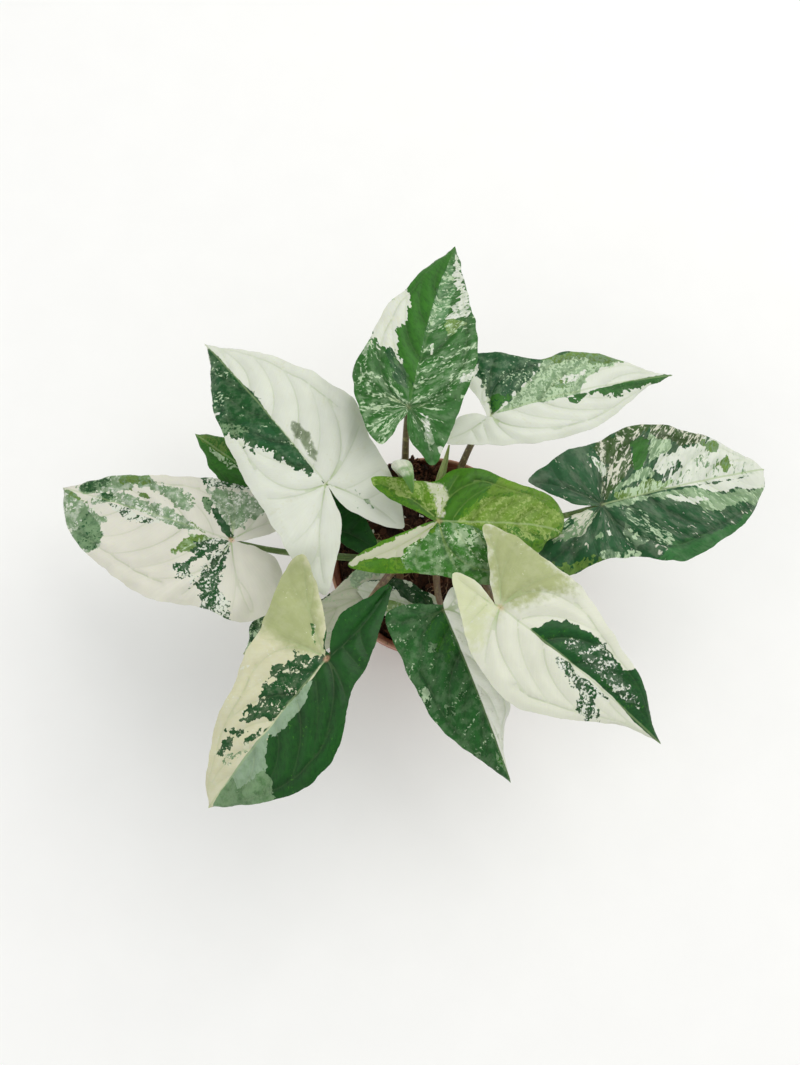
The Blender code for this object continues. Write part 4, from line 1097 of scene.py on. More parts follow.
        Patch("sage", "deep", 0.4, 0.8, [(8, -9.5), (9.5, -7), (12, -8), (11.5, -10)]),
        Patch("sage", "fresh", 0.3, 0.8, [(50, -1), (58, 0), (60, 0), (54.5, -2)]),
    ]),
    "leaf_front_right": ("ivory", "chalk", 0.05, [
        # The lobe's olive tint is painted shade of what lies beneath, seen through it
        Patch("olivecream", "cream", 0.02, 2.0, [(-23.5, 19), (-20, 21.5), (-11.5, 24), (1, 23.5),
            (14.5, 21), (15, 18.5), (9.5, 13), (5.5, 5), (0.5, 0), (-3, 1), (-7, 4),
            (-16.5, 13.5)], soft=3.0),
        Patch("limecream", "chalk", 0.05, 2.0, [(-21.5, 0.5), (-15.5, 3), (-8.5, 2), (-3, 1), (0, 0),
            (0, -6.5), (2, -13), (1.5, -18.5), (-8.5, -12), (-14, -9.5)], soft=3.0),
        Patch("dark", "fresh", 0.1, 0.7, [(11.5, 0), (14.5, 3.5), (14.5, 5), (16.5, 7.5), (20, 10),
            (24, 11.5), (25, 10.5), (29, 12), (33.5, 12), (38, 11.5), (42.5, 10.5), (45, 9.5), (48, 13),
            (53.5, 14), (60.5, 9), (67.5, 4.5), (73, 0), (58.5, -1), (46.5, 0.5), (37, 0.5), (27.5, 0),
            (18.5, -0.5)]),
        Patch("dark", "white", 0.22, 1.4, [(22, 3.5), (26.5, 7.5), (32, 12), (38.5, 11), (44.5, 9),
            (51, 7.5), (57, 3.5), (51.5, 2), (42, 2.5), (35, 3), (27.5, 2.5)]),
        Patch("dark", "white", 0.4, 1.5, [(24, -1.5), (28.5, 0), (32.5, -1.5), (35.5, -1), (42, -1),
            (48.5, -0.5), (42.5, -3), (42, -5.5), (48.5, -8), (43.5, -12), (40, -10.5), (36.5, -7),
            (32, -4.5), (28, -3.5)]),
    ]),
    "leaf_under": ("greywhite", "pale", 0.1, [
        Patch("dark", "white", 0.15, 1.4, [(17, -5), (16.5, -7.5), (12, -10), (7, -10.5), (1.5, -10.5),
            (2.5, -9), (8.5, -9), (11, -7.5), (14.5, -5)]),
        Patch("greysage", "pale", 0.4, 1.2, [(2.5, -11), (-5.5, -9), (-13.5, -4), (-11.5, -3.5), (-1, -6),
            (1.5, -3.5), (4, -4), (3.5, -8)]),
        Patch("dark", "pale", 0.3, 1.2, [(45.5, -13), (37, -10), (39, -7.5), (44, -4), (50, 0),
            (51, -4)]),
    ]),
    "leaf_small": ("white", "chalk", 0.1, [
        Patch("dark", "white", 0.06, 1.2, [(26.5, -1.5), (26, -5), (19.5, -9), (13.5, -10.5), (6, -8),
            (-1, -4), (-3.5, 1), (1.5, 1), (7.5, -0.5), (14, -3), (21, -5), (25, -3.5)]),
        Patch("white", "pale", 0.2, 0.8, [(12, -8), (9, -7.5), (7, -6), (9.5, -5.5)]),
        Patch("palegreen", "pale", 0.2, 0.8, [(17.5, 1), (12.5, 0.5), (8, 1), (12.5, 5), (17.5, 6)]),
    ]),
}


# Leaves

# Side veins: where they leave the midrib, as shares of its length, and how strong each is there
VEIN_FEET = (0.0, 0.1, 0.25, 0.42, 0.6, 0.77)
VEIN_STRENGTHS = (1.0, 0.55, 0.9, 0.6, 0.7, 0.4)
VEIN_REACH = 0.34       # how far a side vein runs forward, as a share of the leaf's length
VEIN_END = 0.96         # but it ends before this share
VEIN_STOP = 0.77        # they end on a vein that runs at this share of the half width
FIRST_BOW = (0.04, 0.72)            # they are drawn towards a point this far ahead of their foot, as a
NEXT_BOW = (0.1, 0.5)               # share of the length, and out, as a share of the half width
RAIL = (0.26, 0.95)     # start and end of the vein that they end on, as shares of the leaf's length
RAIL_STRENGTH = 0.9
# Veins of a basal lobe: the main one reaches towards the lobe's tip and bows outward
LOBE_REACH = 0.9
LOBE_BOW = 0.1
# The one beside it is drawn towards the edge at one angle from the midrib and ends towards another
BESIDE_DRAWN = 84
BESIDE_END = 68
BESIDE_REACH = 0.86
BESIDE_STRENGTH = 0.9
# Branches: where each leaves the main vein, as a share, and the angle of the edge that it runs towards
BRANCHES = ((0.22, 112), (0.5, 128))
BRANCH_REACH = 0.84
BRANCH_BOW = 0.08
BRANCH_STRENGTH = 0.6
VEIN_FADE = 0.75        # a vein loses this much of its strength along its length
VEIN_POINTS = 40
LOBE_POINTS = 30

# Rows of points along the midrib: how far beside it, and which of the points each one keeps
MIDRIB_ROWS = ((-1.3, 2, -3), (-0.5, 1, -2), (0.0, 0, None), (0.5, 1, -2), (1.3, 2, -3))
MIDRIB_ROOM = 1.3       # side veins keep this clear of it, and VEIN_ROOM more
VEIN_START = 3.0        # points on a side vein begin this far from its foot

# Relief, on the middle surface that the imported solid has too
MIDRIB = 0.8            # how far the midrib stands out below the blade
MIDRIB_HALF = 1.5
SIDE_RIB = 0.16         # and the side veins
SIDE_RIB_WIDTH = 0.6
PUFF = 0.68             # the blade swells this much between its veins
PUFF_WIDTH = 2.3
PUFF_MARGIN = 3.5       # and less than this far from its edge
GROOVE = 0.38           # it sinks this much over them
GROOVE_WIDTH = 0.7
MIDRIB_GROOVE = 1.3     # and this many times as much over the midrib
MIDRIB_GROOVE_WIDTH = 0.8
RIPPLE = 0.1            # it has shallow dents of its own
DROOP = 0.7             # outside the vein at VEIN_STOP it turns down this much
DROOP_START = 8.0       # from this far ahead of the junction
DROOP_POWER = 1.3
SINK = 0.15             # all of it lies this much lower, to make room for the swelling
BLADE_SEED = 100
EDGE_ROUGH = 0.07       # how far the edge's points are off a smooth line, one by one
EDGE_WAVE = 0.6         # and in waves
EDGE_SHIFT = Vector((40.5, 17.3, 0.0))              # sets their noise across apart from that along
NEXT_LEAF = 10.0        # leaves lie this far apart in the noise of their paint


def half_width(ring, side):
    """Half width of the blade on one side, as a function of u ahead of the junction."""
    edge = ring[(ring[:, 1] * side >= 0) & (ring[:, 0] >= -1)]
    edge = edge[np.argsort(edge[:, 0])]
    return lambda u: float(np.interp(u, edge[:, 0], np.abs(edge[:, 1])))


def margin_towards(ring, side, angle):
    """The point of the edge that lies at an angle from the midrib, in degrees, on one side."""
    angles = np.degrees(np.arctan2(ring[:, 1] * side, ring[:, 0]))
    off = np.abs(angles - angle) - 0.02 * np.hypot(ring[:, 0], ring[:, 1])
    return ring[np.argmin(off)]


def bow(a, b, c, count):
    """Points on a curve from a to c that is drawn towards b."""
    a, b, c = (np.array(place, float) for place in (a, b, c))
    t = np.linspace(0, 1, count)[:, None]
    return (1 - t) ** 2 * a + 2 * t * (1 - t) * b + t ** 2 * c


def lobe_veins(ring, side):
    """Veins of one basal lobe: its main one, the one beside it and two branches."""
    lobe = ring[ring[:, 1] * side > 0]
    lobe = lobe[lobe[:, 0] < 0]
    tip = lobe[np.argmax(np.hypot(lobe[:, 0], lobe[:, 1]))]
    across = np.array([-tip[1], tip[0]]) * side
    main = bow((0, 0), 0.5 * tip - LOBE_BOW * across, LOBE_REACH * tip, LOBE_POINTS)
    drawn = 0.5 * margin_towards(ring, side, BESIDE_DRAWN)
    beside = bow((0, 0), drawn, BESIDE_REACH * margin_towards(ring, side, BESIDE_END), LOBE_POINTS)
    veins = [(main, 1.0), (beside, BESIDE_STRENGTH)]
    for share, turn in BRANCHES:
        root = main[int(share * (LOBE_POINTS - 1))]
        end = margin_towards(ring, side, turn)
        middle = 0.5 * (root + end) + BRANCH_BOW * across
        veins.append((bow(root, middle, root + BRANCH_REACH * (end - root), 20), BRANCH_STRENGTH))
    return veins


def side_veins(leaf, ring):
    """Side veins in plan: polylines, each with its strength at its root."""
    veins = []
    for side in (1, -1):
        width = half_width(ring, side)
        for n, (share, strength) in enumerate(zip(VEIN_FEET, VEIN_STRENGTHS)):
            ahead, outward = NEXT_BOW if n else FIRST_BOW
            foot = share * leaf.length
            bend = foot + ahead * leaf.length
            end = min(foot + VEIN_REACH * leaf.length, VEIN_END * leaf.length)
            drawn = (bend, side * (outward * width(bend)))
            path = bow((foot, 0), drawn, (end, side * VEIN_STOP * width(end)), VEIN_POINTS)
            veins.append((path, strength))
        along = np.linspace(*RAIL, 60) * leaf.length
        rail = np.array([(u, side * VEIN_STOP * width(u)) for u in along])
        veins.append((rail, RAIL_STRENGTH))
        veins += lobe_veins(ring, side)
    return veins


def flow_of(u, v):
    """Coordinates that run along and across the side veins, for streaks and flecks."""
    out = np.abs(v)
    lean = 0.55 * out + 0.012 * out ** 2
    radius = np.hypot(u, v)
    angle = np.arctan2(out, u)
    first = np.arctan2(radius, 0.62 * radius + 0.004 * radius ** 2)
    ahead = u >= lean
    along = np.where(ahead, np.hypot(out, lean), radius)
    across = np.where(ahead, u - lean, -14.0 * (angle - first))
    return along * np.sign(v), across


def rough_edge(leaf, number):
    """The blade's outline in plan, with small dents and waves of its own."""
    draw = np.random.default_rng(BLADE_SEED + number)
    ring = outline(leaf, EDGE_STEP)
    rough = draw.uniform(-1, 1, (len(ring) - 3, 2)) * EDGE_ROUGH
    for n, (a, b) in enumerate(ring[2:-1]):
        spot = Vector((a * 0.2, b * 0.2, 5.0 * number))
        rough[n] += EDGE_WAVE * np.array([noise.noise(spot), noise.noise(spot + EDGE_SHIFT)])
    ring[2:-1] += rough
    return ring


def blade_plan(leaf, ring, veins):
    """Plan points of a blade, with rows of them along its veins, and the triangles between them."""
    rib = np.arange(0.0, leaf.length - 1.5, VEIN_STEP)
    rows = [np.column_stack([rib, np.full(len(rib), v)])[first:last] for v, first, last in MIDRIB_ROWS]
    kept = np.vstack(rows)
    for path, strength in veins:
        along = lengths_along(path)
        spots = np.arange(VEIN_START, along[-1], VEIN_STEP)
        track = np.column_stack([np.interp(spots, along, path[:, 0]), np.interp(spots, along, path[:, 1])])
        track = track[np.abs(track[:, 1]) > MIDRIB_ROOM + VEIN_ROOM]
        kept = np.vstack([kept, clear_of(track, kept[:-1])])
    kept = kept[depth_in(kept, ring) > VEIN_ROOM]
    return triangulated(ring, np.vstack([kept, clear_of(filling(ring, CELL), kept)]))


def vein_field(plan, veins):
    """For each plan point, the distance to the nearest side vein, and how strong that vein is there."""
    lateral = np.full(len(plan), np.inf)
    strength = np.zeros(len(plan))
    for path, root in veins:
        near = distance_to(plan, path[:-1], path[1:])
        along = np.hypot(*(plan - path[0]).T) / (1 + np.hypot(*(path[-1] - path[0])))
        strength = np.where(near < lateral, root * np.clip(1.1 - VEIN_FADE * along, 0.2, 1), strength)
        lateral = np.minimum(lateral, near)
    return lateral, strength


def blade_relief(leaf, number, ring, plan, lateral, strength):
    """How far the blade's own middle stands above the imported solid's."""
    u, v = plan.T
    edge = np.maximum(depth_in(plan, ring), 0.0)
    rib = np.where(u >= 0, np.abs(v), np.hypot(u, v))
    dent = GROOVE * strength * np.exp(-(lateral / GROOVE_WIDTH) ** 2)
    dent = dent + MIDRIB_GROOVE * GROOVE * taper(leaf, u) * np.exp(-(rib / MIDRIB_GROOVE_WIDTH) ** 2)
    swell = PUFF * (1 - np.exp(-(lateral / PUFF_WIDTH) ** 2)) * np.clip(edge / PUFF_MARGIN, 0, 1)
    along, across = flow_of(u, v)
    shift = number * 7.0
    ripple = np.array([noise.noise(Vector((a * 0.16, b * 0.3, shift))) for a, b in zip(along, across)])
    ripple += 0.25 * np.array([noise.noise(Vector((a * 0.5, b * 0.5, shift))) for a, b in plan])
    widths = {side: half_width(ring, side) for side in (1, -1)}
    whole = np.array([widths[1 if b >= 0 else -1](max(a, 0.0)) for a, b in plan])
    outer = np.clip((np.abs(v) / np.maximum(whole, 0.5) - VEIN_STOP) / (1 - VEIN_STOP), 0, 1)
    droop = DROOP * (outer * np.clip(u / DROOP_START, 0, 1)) ** DROOP_POWER
    return swell - dent - SINK + RIPPLE * ripple * np.clip(edge / 2, 0, 1) - droop


def taper(leaf, u):
    """How much of its size the midrib still has at u."""
    return np.clip(1 - u / leaf.length, 0.15, 1)


def make_blade(leaf, number, patches):
    """Points, faces and per-point values of a blade."""
    ring = rough_edge(leaf, number)
    veins = side_veins(leaf, ring)
    plan, triangles = blade_plan(leaf, ring, veins)
    u, v = plan.T
    lateral, strength = vein_field(plan, veins)
    relief = blade_relief(leaf, number, ring, plan, lateral, strength)
    margin = np.clip(np.maximum(depth_in(plan, ring), 0.0) / THIN_MARGIN, 0, 1)
    thick = BLADE_EDGE + (BLADE - BLADE_EDGE) * margin
    keel = MIDRIB * taper(leaf, u) * (u >= 0) * np.sqrt(np.clip(1 - (v / MIDRIB_HALF) ** 2, 0, 1))
    ribs = SIDE_RIB * strength * np.exp(-(lateral / SIDE_RIB_WIDTH) ** 2)
    middle, normals = lifted(leaf, plan)
    above = middle + normals * (thick / 2 + relief)[:, None]
    below = middle - normals * (thick / 2 + np.maximum(keel, ribs) - relief)[:, None]
    count = len(plan)
    faces = list(triangles)
    faces += [(c + count, b + count, a + count) for a, b, c in triangles]
    for a, b in border(triangles):
        faces += [(b, a, a + count), (b, a + count, b + count)]
    apart = np.full(count, NEXT_LEAF * number)
    values = {
        "plan": np.column_stack([u, v, apart]),
        "flow": np.column_stack([*flow_of(u, v), apart]),
        "vein": lateral,
        "strength": strength,
    }
    for n, patch in enumerate(patches):
        values[f"patch_{n:02d}"] = np.clip(depth_in(plan, np.array(patch.ring, float)), -6, 6)
    values = {name: np.concatenate([given, given]) for name, given in values.items()}
    values["under"] = np.concatenate([np.zeros(count), np.ones(count)])
    return placed(leaf, np.vstack([above, below])), faces, values


STEM_UNDER = 0.7        # a stem ends this far under the middle of its blade,
STEM_UNDER_REACH = 4.0  # and is lowered for it over this length
STEM_NECK = 6.0         # it narrows over this length below the blade
STEM_NECK_START = 0.55  # to this share of its radius,
STEM_TIP = 0.8          # and to a point over this length
SHEATH = 0.45           # share of a stem that its sheath covers
SHEATH_FADE = 0.12      # it ends over this share
# Heights of a sheath's two edges and of the valley between them, as shares of the radius, where the edges
# lie, and the widths of both, as turns from the front
SHEATH_EDGE = 0.16
SHEATH_VALLEY = 0.22
EDGE_TURN = 0.5
EDGE_WIDTH = 0.16
VALLEY_WIDTH = 0.34
STEM_VALLEY = 0.07      # the valley above the sheath


def stem_shape(rings):
    """Radius of a stem by angle and ring: a sheath with two raised edges on its lower part."""

    def shape(angles, n):
        turn = centred(angles)
        low = np.clip((SHEATH - n / (rings - 1)) / SHEATH_FADE, 0, 1)
        edges = np.exp(-((np.abs(turn) - EDGE_TURN) / EDGE_WIDTH) ** 2)
        valley = np.exp(-(turn / VALLEY_WIDTH) ** 2)
        return 1 + low * (SHEATH_EDGE * edges - SHEATH_VALLEY * valley) - (1 - low) * STEM_VALLEY * valley

    return shape


def make_stem(leaf):
    """Points, faces and paint coordinates of a stem, which ends just under its blade."""
    path = stem_path(leaf)
    inner = np.linalg.norm(path - path[-1], axis=1)
    path[:, 2] -= STEM_UNDER * np.exp(-(inner / STEM_UNDER_REACH) ** 2)
    radii = np.concatenate([[STEM_FOOT], np.linspace(STEM_FOOT, STEM_TOP, len(path) - 1)])
    neck = np.clip(STEM_NECK_START + (1 - STEM_NECK_START) * inner / STEM_NECK, 0, 1)
    radii *= neck * np.sqrt(np.clip(inner / STEM_TIP, 0.02, 1))
    facing = np.array([math.cos(leaf.heading), math.sin(leaf.heading), 0.0])
    points, faces, angles = tube(path, radii, radii, STEM_SIDES, -facing, stem_shape(len(path)))
    length = np.repeat(lengths_along(path), STEM_SIDES)
    run = np.repeat(np.linspace(0, 1, len(path)), STEM_SIDES)
    return points, faces, np.column_stack([length, angles, run])


def make_leaf(leaf, number):
    """A leaf: its blade and its stem in one piece."""
    shell = Shell()
    points, faces, values = make_blade(leaf, number, COLOURS[leaf.name][-1])
    shell.add(points, faces, 0, **values)
    points, faces, run = make_stem(leaf)
    shell.add(points, faces, 1, stem=run)
    made = shell.piece(leaf.name + "_fine", [leaf_material(leaf), stem_material(leaf.stem)])
    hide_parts(leaf.name)


# Rolled leaves

ROLL_SIDES = 40
ROLL_STEP = 0.9
ROLL_GROOVE = 0.5       # depth of the step at the seam, as a share of the radius
SEAM_WIDTH = 0.5        # and its width, as a turn
SEAM_POWER = 1.5
SEAM_START = 2          # it begins at this ring
SEAM_RINGS = 12         # and has its full depth this many rings on


def make_roll(name, stations, tints, seam):
    """A leaf that is still rolled up, with its overlapping edges at the seam's turn from the front."""
    track = smooth_curve([(*place, wide, deep) for place, wide, deep in stations], ROLL_STEP)
    foot = track[0] - (0, 0, HOLE_DEPTH, 0, 0)
    track = np.vstack([foot, track])
    path = track[:, :3]

    def shape(angles, n):
        turn = centred(angles)
        share = np.clip((n - SEAM_START) / SEAM_RINGS, 0, 1)
        step = ROLL_GROOVE * np.clip(1 - np.abs(turn - seam) / SEAM_WIDTH, 0, 1) ** SEAM_POWER
        return 1 - share * step + 0.02 * np.sin(5 * turn + 0.1 * n)

    points, faces, angles = tube(path, track[:, 3], track[:, 4], ROLL_SIDES, shape=shape)
    length = np.repeat(lengths_along(path), ROLL_SIDES)
    run = np.repeat(np.linspace(0, 1, len(path)), ROLL_SIDES)
    shell = Shell()
    shell.add(points, faces, roll=np.column_stack([length, np.cos(angles), np.sin(angles)]), run=run)
    made = shell.piece(name + "_fine", [roll_material(name, tints)])
    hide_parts(name)


# Pot

POT_CREASE = 40.0       # edges sharper than this many degrees stay sharp


def rounded(corner, radius, start, end):
    """Points on an arc about (r, z), between two angles in degrees."""
    angles = [math.radians(a) for a in np.linspace(start, end, ROUND_STEPS)]
    return [(corner[0] + radius * math.cos(a), corner[1] + radius * math.sin(a)) for a in angles]


def pot_profile():
    """(r, z) of the pot's wall from the foot up the outside, over the rim and down to the floor."""
    ledge = POT_HEIGHT - LIP_HEIGHT
    half = WALL / 2
    profile = rounded((FOOT_RADIUS - FOOT_ROUND, FOOT_ROUND), FOOT_ROUND, -90, 0)
    for z in np.arange(WALL_START, ledge - 1, WALL_STEP):
        profile.append((wall_radius(z), z))
    profile.append((wall_radius(ledge), ledge))
    profile += rounded((RIM_RADIUS - half, ledge + half), half, -90, 0)
    profile += rounded((RIM_RADIUS - half, POT_HEIGHT - half), half, 0, 180)
    profile += rounded((RIM_RADIUS - WALL - half, ledge + WALL + half), half, 0, -90)
    profile += [(wall_radius(z) - WALL, z) for z in np.linspace(ledge, POT_FLOOR, INSIDE_POINTS)]
    return profile


def make_pot():
    """The pot, turned from its profile, with drain holes in its floor."""
    profile = pot_profile()
    points = [(0, 0, 0), (0, 0, POT_FLOOR)]
    for angle in 2 * math.pi * np.arange(POT_SIDES) / POT_SIDES:
        points += [(*polar(r, angle), z) for r, z in profile]
    row = len(profile)
    faces = []
    for n in range(POT_SIDES):
        a = 2 + n * row
        b = 2 + (n + 1) % POT_SIDES * row
        faces += [(a + k, b + k, b + k + 1, a + k + 1) for k in range(row - 1)]
        faces += [(0, b, a), (1, a + row - 1, b + row - 1)]
    shell = Shell()
    shell.add(points, faces)
    pot = shell.piece("pot_fine", [pot_material()], crease=POT_CREASE)
    for n in range(DRAIN_HOLES):
        drill(pot, *polar(DRAIN_CIRCLE, 2 * math.pi * (n + 0.5) / DRAIN_HOLES))
    pot.data.shade_smooth()
    pot.data.set_sharp_from_angle(angle=math.radians(POT_CREASE))
    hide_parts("pot")


def drill(pot, x, y):
    """Cut one drain hole through the pot's floor."""
    cutter = Shell()
    path = [(x, y, -1.0), (x, y, POT_FLOOR + 1.0)]
    cutter.add(*tube(path, [DRAIN_RADIUS] * 2, [DRAIN_RADIUS] * 2, DRAIN_SIDES)[:2])
    hole = cutter.piece("hole", [])
    modifier = pot.modifiers.new("drain", "BOOLEAN")
    modifier.operation = "DIFFERENCE"
    modifier.object = hole
    shape = bpy.data.meshes.new_from_object(pot.evaluated_get(bpy.context.evaluated_depsgraph_get()))
    pot.modifiers.clear()
    pot.data = shape
    bpy.data.objects.remove(hole)


def pot_material():
    """Thin moulded terracotta-coloured plastic with scuffs, painted light on the top of its rim and smears of
    soil.
    """
    p = Paint("pot_plastic_fine")
    place = p.place()
    cloud = p.noise(place, 70.0, 4.0, 0.6)
    grain = p.noise(place, 1500.0, 2.0, 0.6)
    scuffs = p.noise(p.stretch(place, (1.0, 1.0, 6.0)), 220.0, 4.0, 0.65)
    dirt = p.noise(place, 330.0, 4.0, 0.7)
    base = p.mix(p.span(cloud, 0.35, 0.65), TINTS["terracotta"], TINTS["terracotta_light"])
    base = p.mix(p.span(scuffs, 0.56, 0.7, 0.0, 0.5), base, TINTS["scuff"])
    # Painted light: the top of the rim is lighter, where the light falls on it
    lit_rim_top = p.span(p.axes(place)[2], 0.0655, 0.0672)
    base = p.mix(p.times(lit_rim_top, 0.55), base, TINTS["rim_painted_light"])
    base = p.mix(p.span(dirt, 0.6, 0.68, 0.0, 0.6), base, TINTS["smear"])
    normal = p.bump(scuffs, 0.0001, 0.4, p.bump(grain, 0.00006, 0.5))
    p.set(Base_Color=base, Roughness=p.span(cloud, 0.3, 0.7, 0.42, 0.58), Normal=normal)
    return p.finish


# Soil

SOIL_CELL = 0.85        # spacing of the points on its top
SOIL_SEED = 7
CLOD_HEIGHT = 1.3
CRUMB_HEIGHT = 0.55
CRUMB_RANGE = (-1.8, 1.6)           # clods and crumbs together stay within this,
CRUMB_SINK = 0.2        # and then lie this much lower
GRAIN_HEIGHT = 0.16
SOIL_CREASE = 80.0


def make_soil():
    """The soil that fills the pot, with clods and crumbs on its top."""
    draw = np.random.default_rng(SOIL_SEED)
    inner = wall_radius(POT_HEIGHT - LIP_HEIGHT) - WALL - GAP
    turns = np.linspace(0, 2 * math.pi, POT_SIDES, endpoint=False)
    ring = inner * np.column_stack([np.cos(turns), np.sin(turns)])
    plan, triangles = triangulated(ring, filling(ring, SOIL_CELL))
    crumbs = []
    for x, y in plan:
        clod = noise.fractal(Vector((x * 0.22, y * 0.22, 3.0)), 0.8, 2.1, 4)
        crumb = noise.noise(Vector((x * 0.9, y * 0.9, 9.0)))
        crumbs.append(CLOD_HEIGHT * clod + CRUMB_HEIGHT * crumb)
    heights = soil_top(plan[:, 0], plan[:, 1]) + np.clip(crumbs, *CRUMB_RANGE) - CRUMB_SINK
    heights += draw.uniform(-GRAIN_HEIGHT, GRAIN_HEIGHT, len(plan))
    points = list(np.column_stack([plan, heights]))
    faces = list(triangles)
    count = len(points)
    low = POT_FLOOR + GAP
    shrink = (wall_radius(low) - WALL - GAP) / inner
    rim = border(triangles)
    order = sorted({a for a, b in rim})
    lower = {a: count + n for n, a in enumerate(order)}
    points += [(plan[a, 0] * shrink, plan[a, 1] * shrink, low) for a in order]
    centre = len(points)
    points.append((0.0, 0.0, low))
    for a, b in rim:
        faces += [(b, a, lower[a]), (b, lower[a], lower[b]), (lower[b], lower[a], centre)]
    shell = Shell()
    shell.add(points, faces)
    made = shell.piece("soil_fine", [soil_material("soil_crumbs", 0.0)], crease=SOIL_CREASE)
    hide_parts("soil")


def soil_material(name, light):
    """Dark peat with brown crumbs and reddish fibres. light: share of the colour of light bark."""
    p = Paint(name)
    place = p.place()
    clods = p.noise(place, 160.0, 5.0, 0.7)
    grain = p.noise(place, 900.0, 4.0, 0.7)
    fibres = p.noise(p.stretch(place, (1.0, 0.25, 1.0)), 700.0, 4.0, 0.7, 0.6)
    base = p.mix(p.span(clods, 0.38, 0.6), TINTS["peat"], TINTS["peat_brown"])
    base = p.mix(p.span(fibres, 0.58, 0.68, 0.0, 0.7), base, TINTS["fibre"])
    base = p.mix(p.span(grain, 0.62, 0.72, 0.0, 0.6), base, TINTS["peat_black"])
    base = p.mix(light, base, TINTS["bark_light"])
    normal = p.bump(clods, 0.0012, 0.7, p.bump(grain, 0.0006, 0.9))
    p.set(Base_Color=base, Roughness=0.92, Normal=normal, Specular_IOR_Level=0.25)
    return p.finish


# What lies on the soil: how many of each, how far from the pot's axis, their sizes and how flat they are

LITTER_SEED = 21
LITTER_CREASE = 30.0
BARK_LIGHTS = (0.0, 0.16, 0.42)     # the bark's three colours, as shares of its light one
BARK_CHIPS = 420
BARK_REACH = 35.0
BARK_SIZES = (0.7, 2.3)
BARK_FLAT = (0.25, 0.6)
BARK_LIFT = 0.3         # their middles are this far above the soil
# Chips banked up against the back of the rim, at angles about BANK_MIDDLE
BANK_CHIPS = 640
BANK_MIDDLE = 107.0
BANK_SPREAD = 20.0
BANK_REACH = (27.0, 36.8)
BANK_FOOT = POT_HEIGHT - 5.0        # the bank rises from here,
BANK_HEIGHT = 7.5       # by this much for each BANK_RUN outward
BANK_RUN = 10.0
BANK_SIZES = (0.6, 1.5)
BANK_FLAT = (0.4, 0.8)
# Chips on the rim itself
RIM_CHIPS = 110
RIM_MIDDLE = BANK_MIDDLE + 5
RIM_SPREAD = 9.0
RIM_REACH = (37.2, 39.6)
RIM_LIFT = (0.2, 2.2)
RIM_SIZES = (0.6, 1.4)
RIM_FLAT = 0.7
PERLITE_GRAINS = 64
PERLITE_REACH = 34.0
PERLITE_SIZES = (0.35, 0.95)
PERLITE_FLAT = 0.8
LITTER_LIFT = 0.9       # perlite and roots lie this far above the soil
DRY_ROOTS = 130
ROOT_REACH = 33.0
ROOT_LIMIT = 35.0       # a root stops where it comes this far out
ROOT_POINTS = 12
ROOT_STEP = 0.9
ROOT_TURN = 0.35        # how much it turns at each step
ROOT_WAVE = 0.5
ROOT_RADIUS = 0.16


def grit(draw, size, flat, sides=1):
    """Points and faces of one lump: a jagged ball, flattened and turned at random."""
    ball = bmesh.new()
    bmesh.ops.create_icosphere(ball, subdivisions=sides, radius=1.0)
    points = np.array([v.co[:] for v in ball.verts])
    faces = [tuple(v.index for v in f.verts) for f in ball.faces]
    ball.free()
    points *= draw.uniform(0.72, 1.12, len(points))[:, None]
    points *= size * np.array([1.35, 0.85 * draw.uniform(0.5, 1.0), flat])
    spin = draw.normal(size=4)
    spin /= np.linalg.norm(spin)
    w, x, y, z = spin
    turn = np.array([
        [1 - 2 * (y * y + z * z), 2 * (x * y - w * z), 2 * (x * z + w * y)],
        [2 * (x * y + w * z), 1 - 2 * (x * x + z * z), 2 * (y * z - w * x)],
        [2 * (x * z - w * y), 2 * (y * z + w * x), 1 - 2 * (x * x + y * y)]])
    return points @ turn.T, faces


def on_soil(draw, reach):
    """A random place on the soil, within reach of the middle."""
    angle = draw.uniform(0, 2 * math.pi)
    x, y = polar(reach * math.sqrt(draw.uniform(0, 1)), angle)
    return x, y, soil_at(x, y)


def add_chip(bark, draw, chip, place):
    """Put one chip of bark in its place, in one of the bark's colours."""
    points, faces = chip
    bark.add(points + place, faces, int(draw.integers(0, len(BARK_LIGHTS))))


def make_bark(draw):
    """Chips all over the soil, banked up at the back and on the rim there."""
    bark = Shell()
    for n in range(BARK_CHIPS):
        x, y, z = on_soil(draw, BARK_REACH)
        chip = grit(draw, draw.uniform(*BARK_SIZES), draw.uniform(*BARK_FLAT))
        add_chip(bark, draw, chip, (x, y, z + BARK_LIFT))
    for n in range(BANK_CHIPS):
        turn = draw.normal(BANK_MIDDLE, BANK_SPREAD)
        radius = draw.uniform(*BANK_REACH)
        x, y = polar(radius, math.radians(turn))
        ground = soil_at(x, y)
        side = math.exp(-((turn - BANK_MIDDLE) / (1.6 * BANK_SPREAD)) ** 2)
        most = max(ground, BANK_FOOT + BANK_HEIGHT * side * (radius - BANK_REACH[0]) / BANK_RUN)
        chip = grit(draw, draw.uniform(*BANK_SIZES), draw.uniform(*BANK_FLAT))
        add_chip(bark, draw, chip, (x, y, draw.uniform(ground, most)))
    for n in range(RIM_CHIPS):
        angle = math.radians(draw.normal(RIM_MIDDLE, RIM_SPREAD))
        x, y = polar(draw.uniform(*RIM_REACH), angle)
        height = POT_HEIGHT + draw.uniform(*RIM_LIFT)
        chip = grit(draw, draw.uniform(*RIM_SIZES), RIM_FLAT)
        add_chip(bark, draw, chip, (x, y, height))
    finishes = [soil_material(f"bark_{n}", share) for n, share in enumerate(BARK_LIGHTS)]
    bark.piece("bark_chips", finishes, crease=LITTER_CREASE)


def make_perlite(draw):
    """White grains of perlite."""
    perlite = Shell()
    for n in range(PERLITE_GRAINS):
        x, y, z = on_soil(draw, PERLITE_REACH)
        points, faces = grit(draw, draw.uniform(*PERLITE_SIZES), PERLITE_FLAT, 2)
        perlite.add(points + (x, y, z + LITTER_LIFT), faces)
    perlite.piece("perlite", [perlite_material()], crease=LITTER_CREASE)


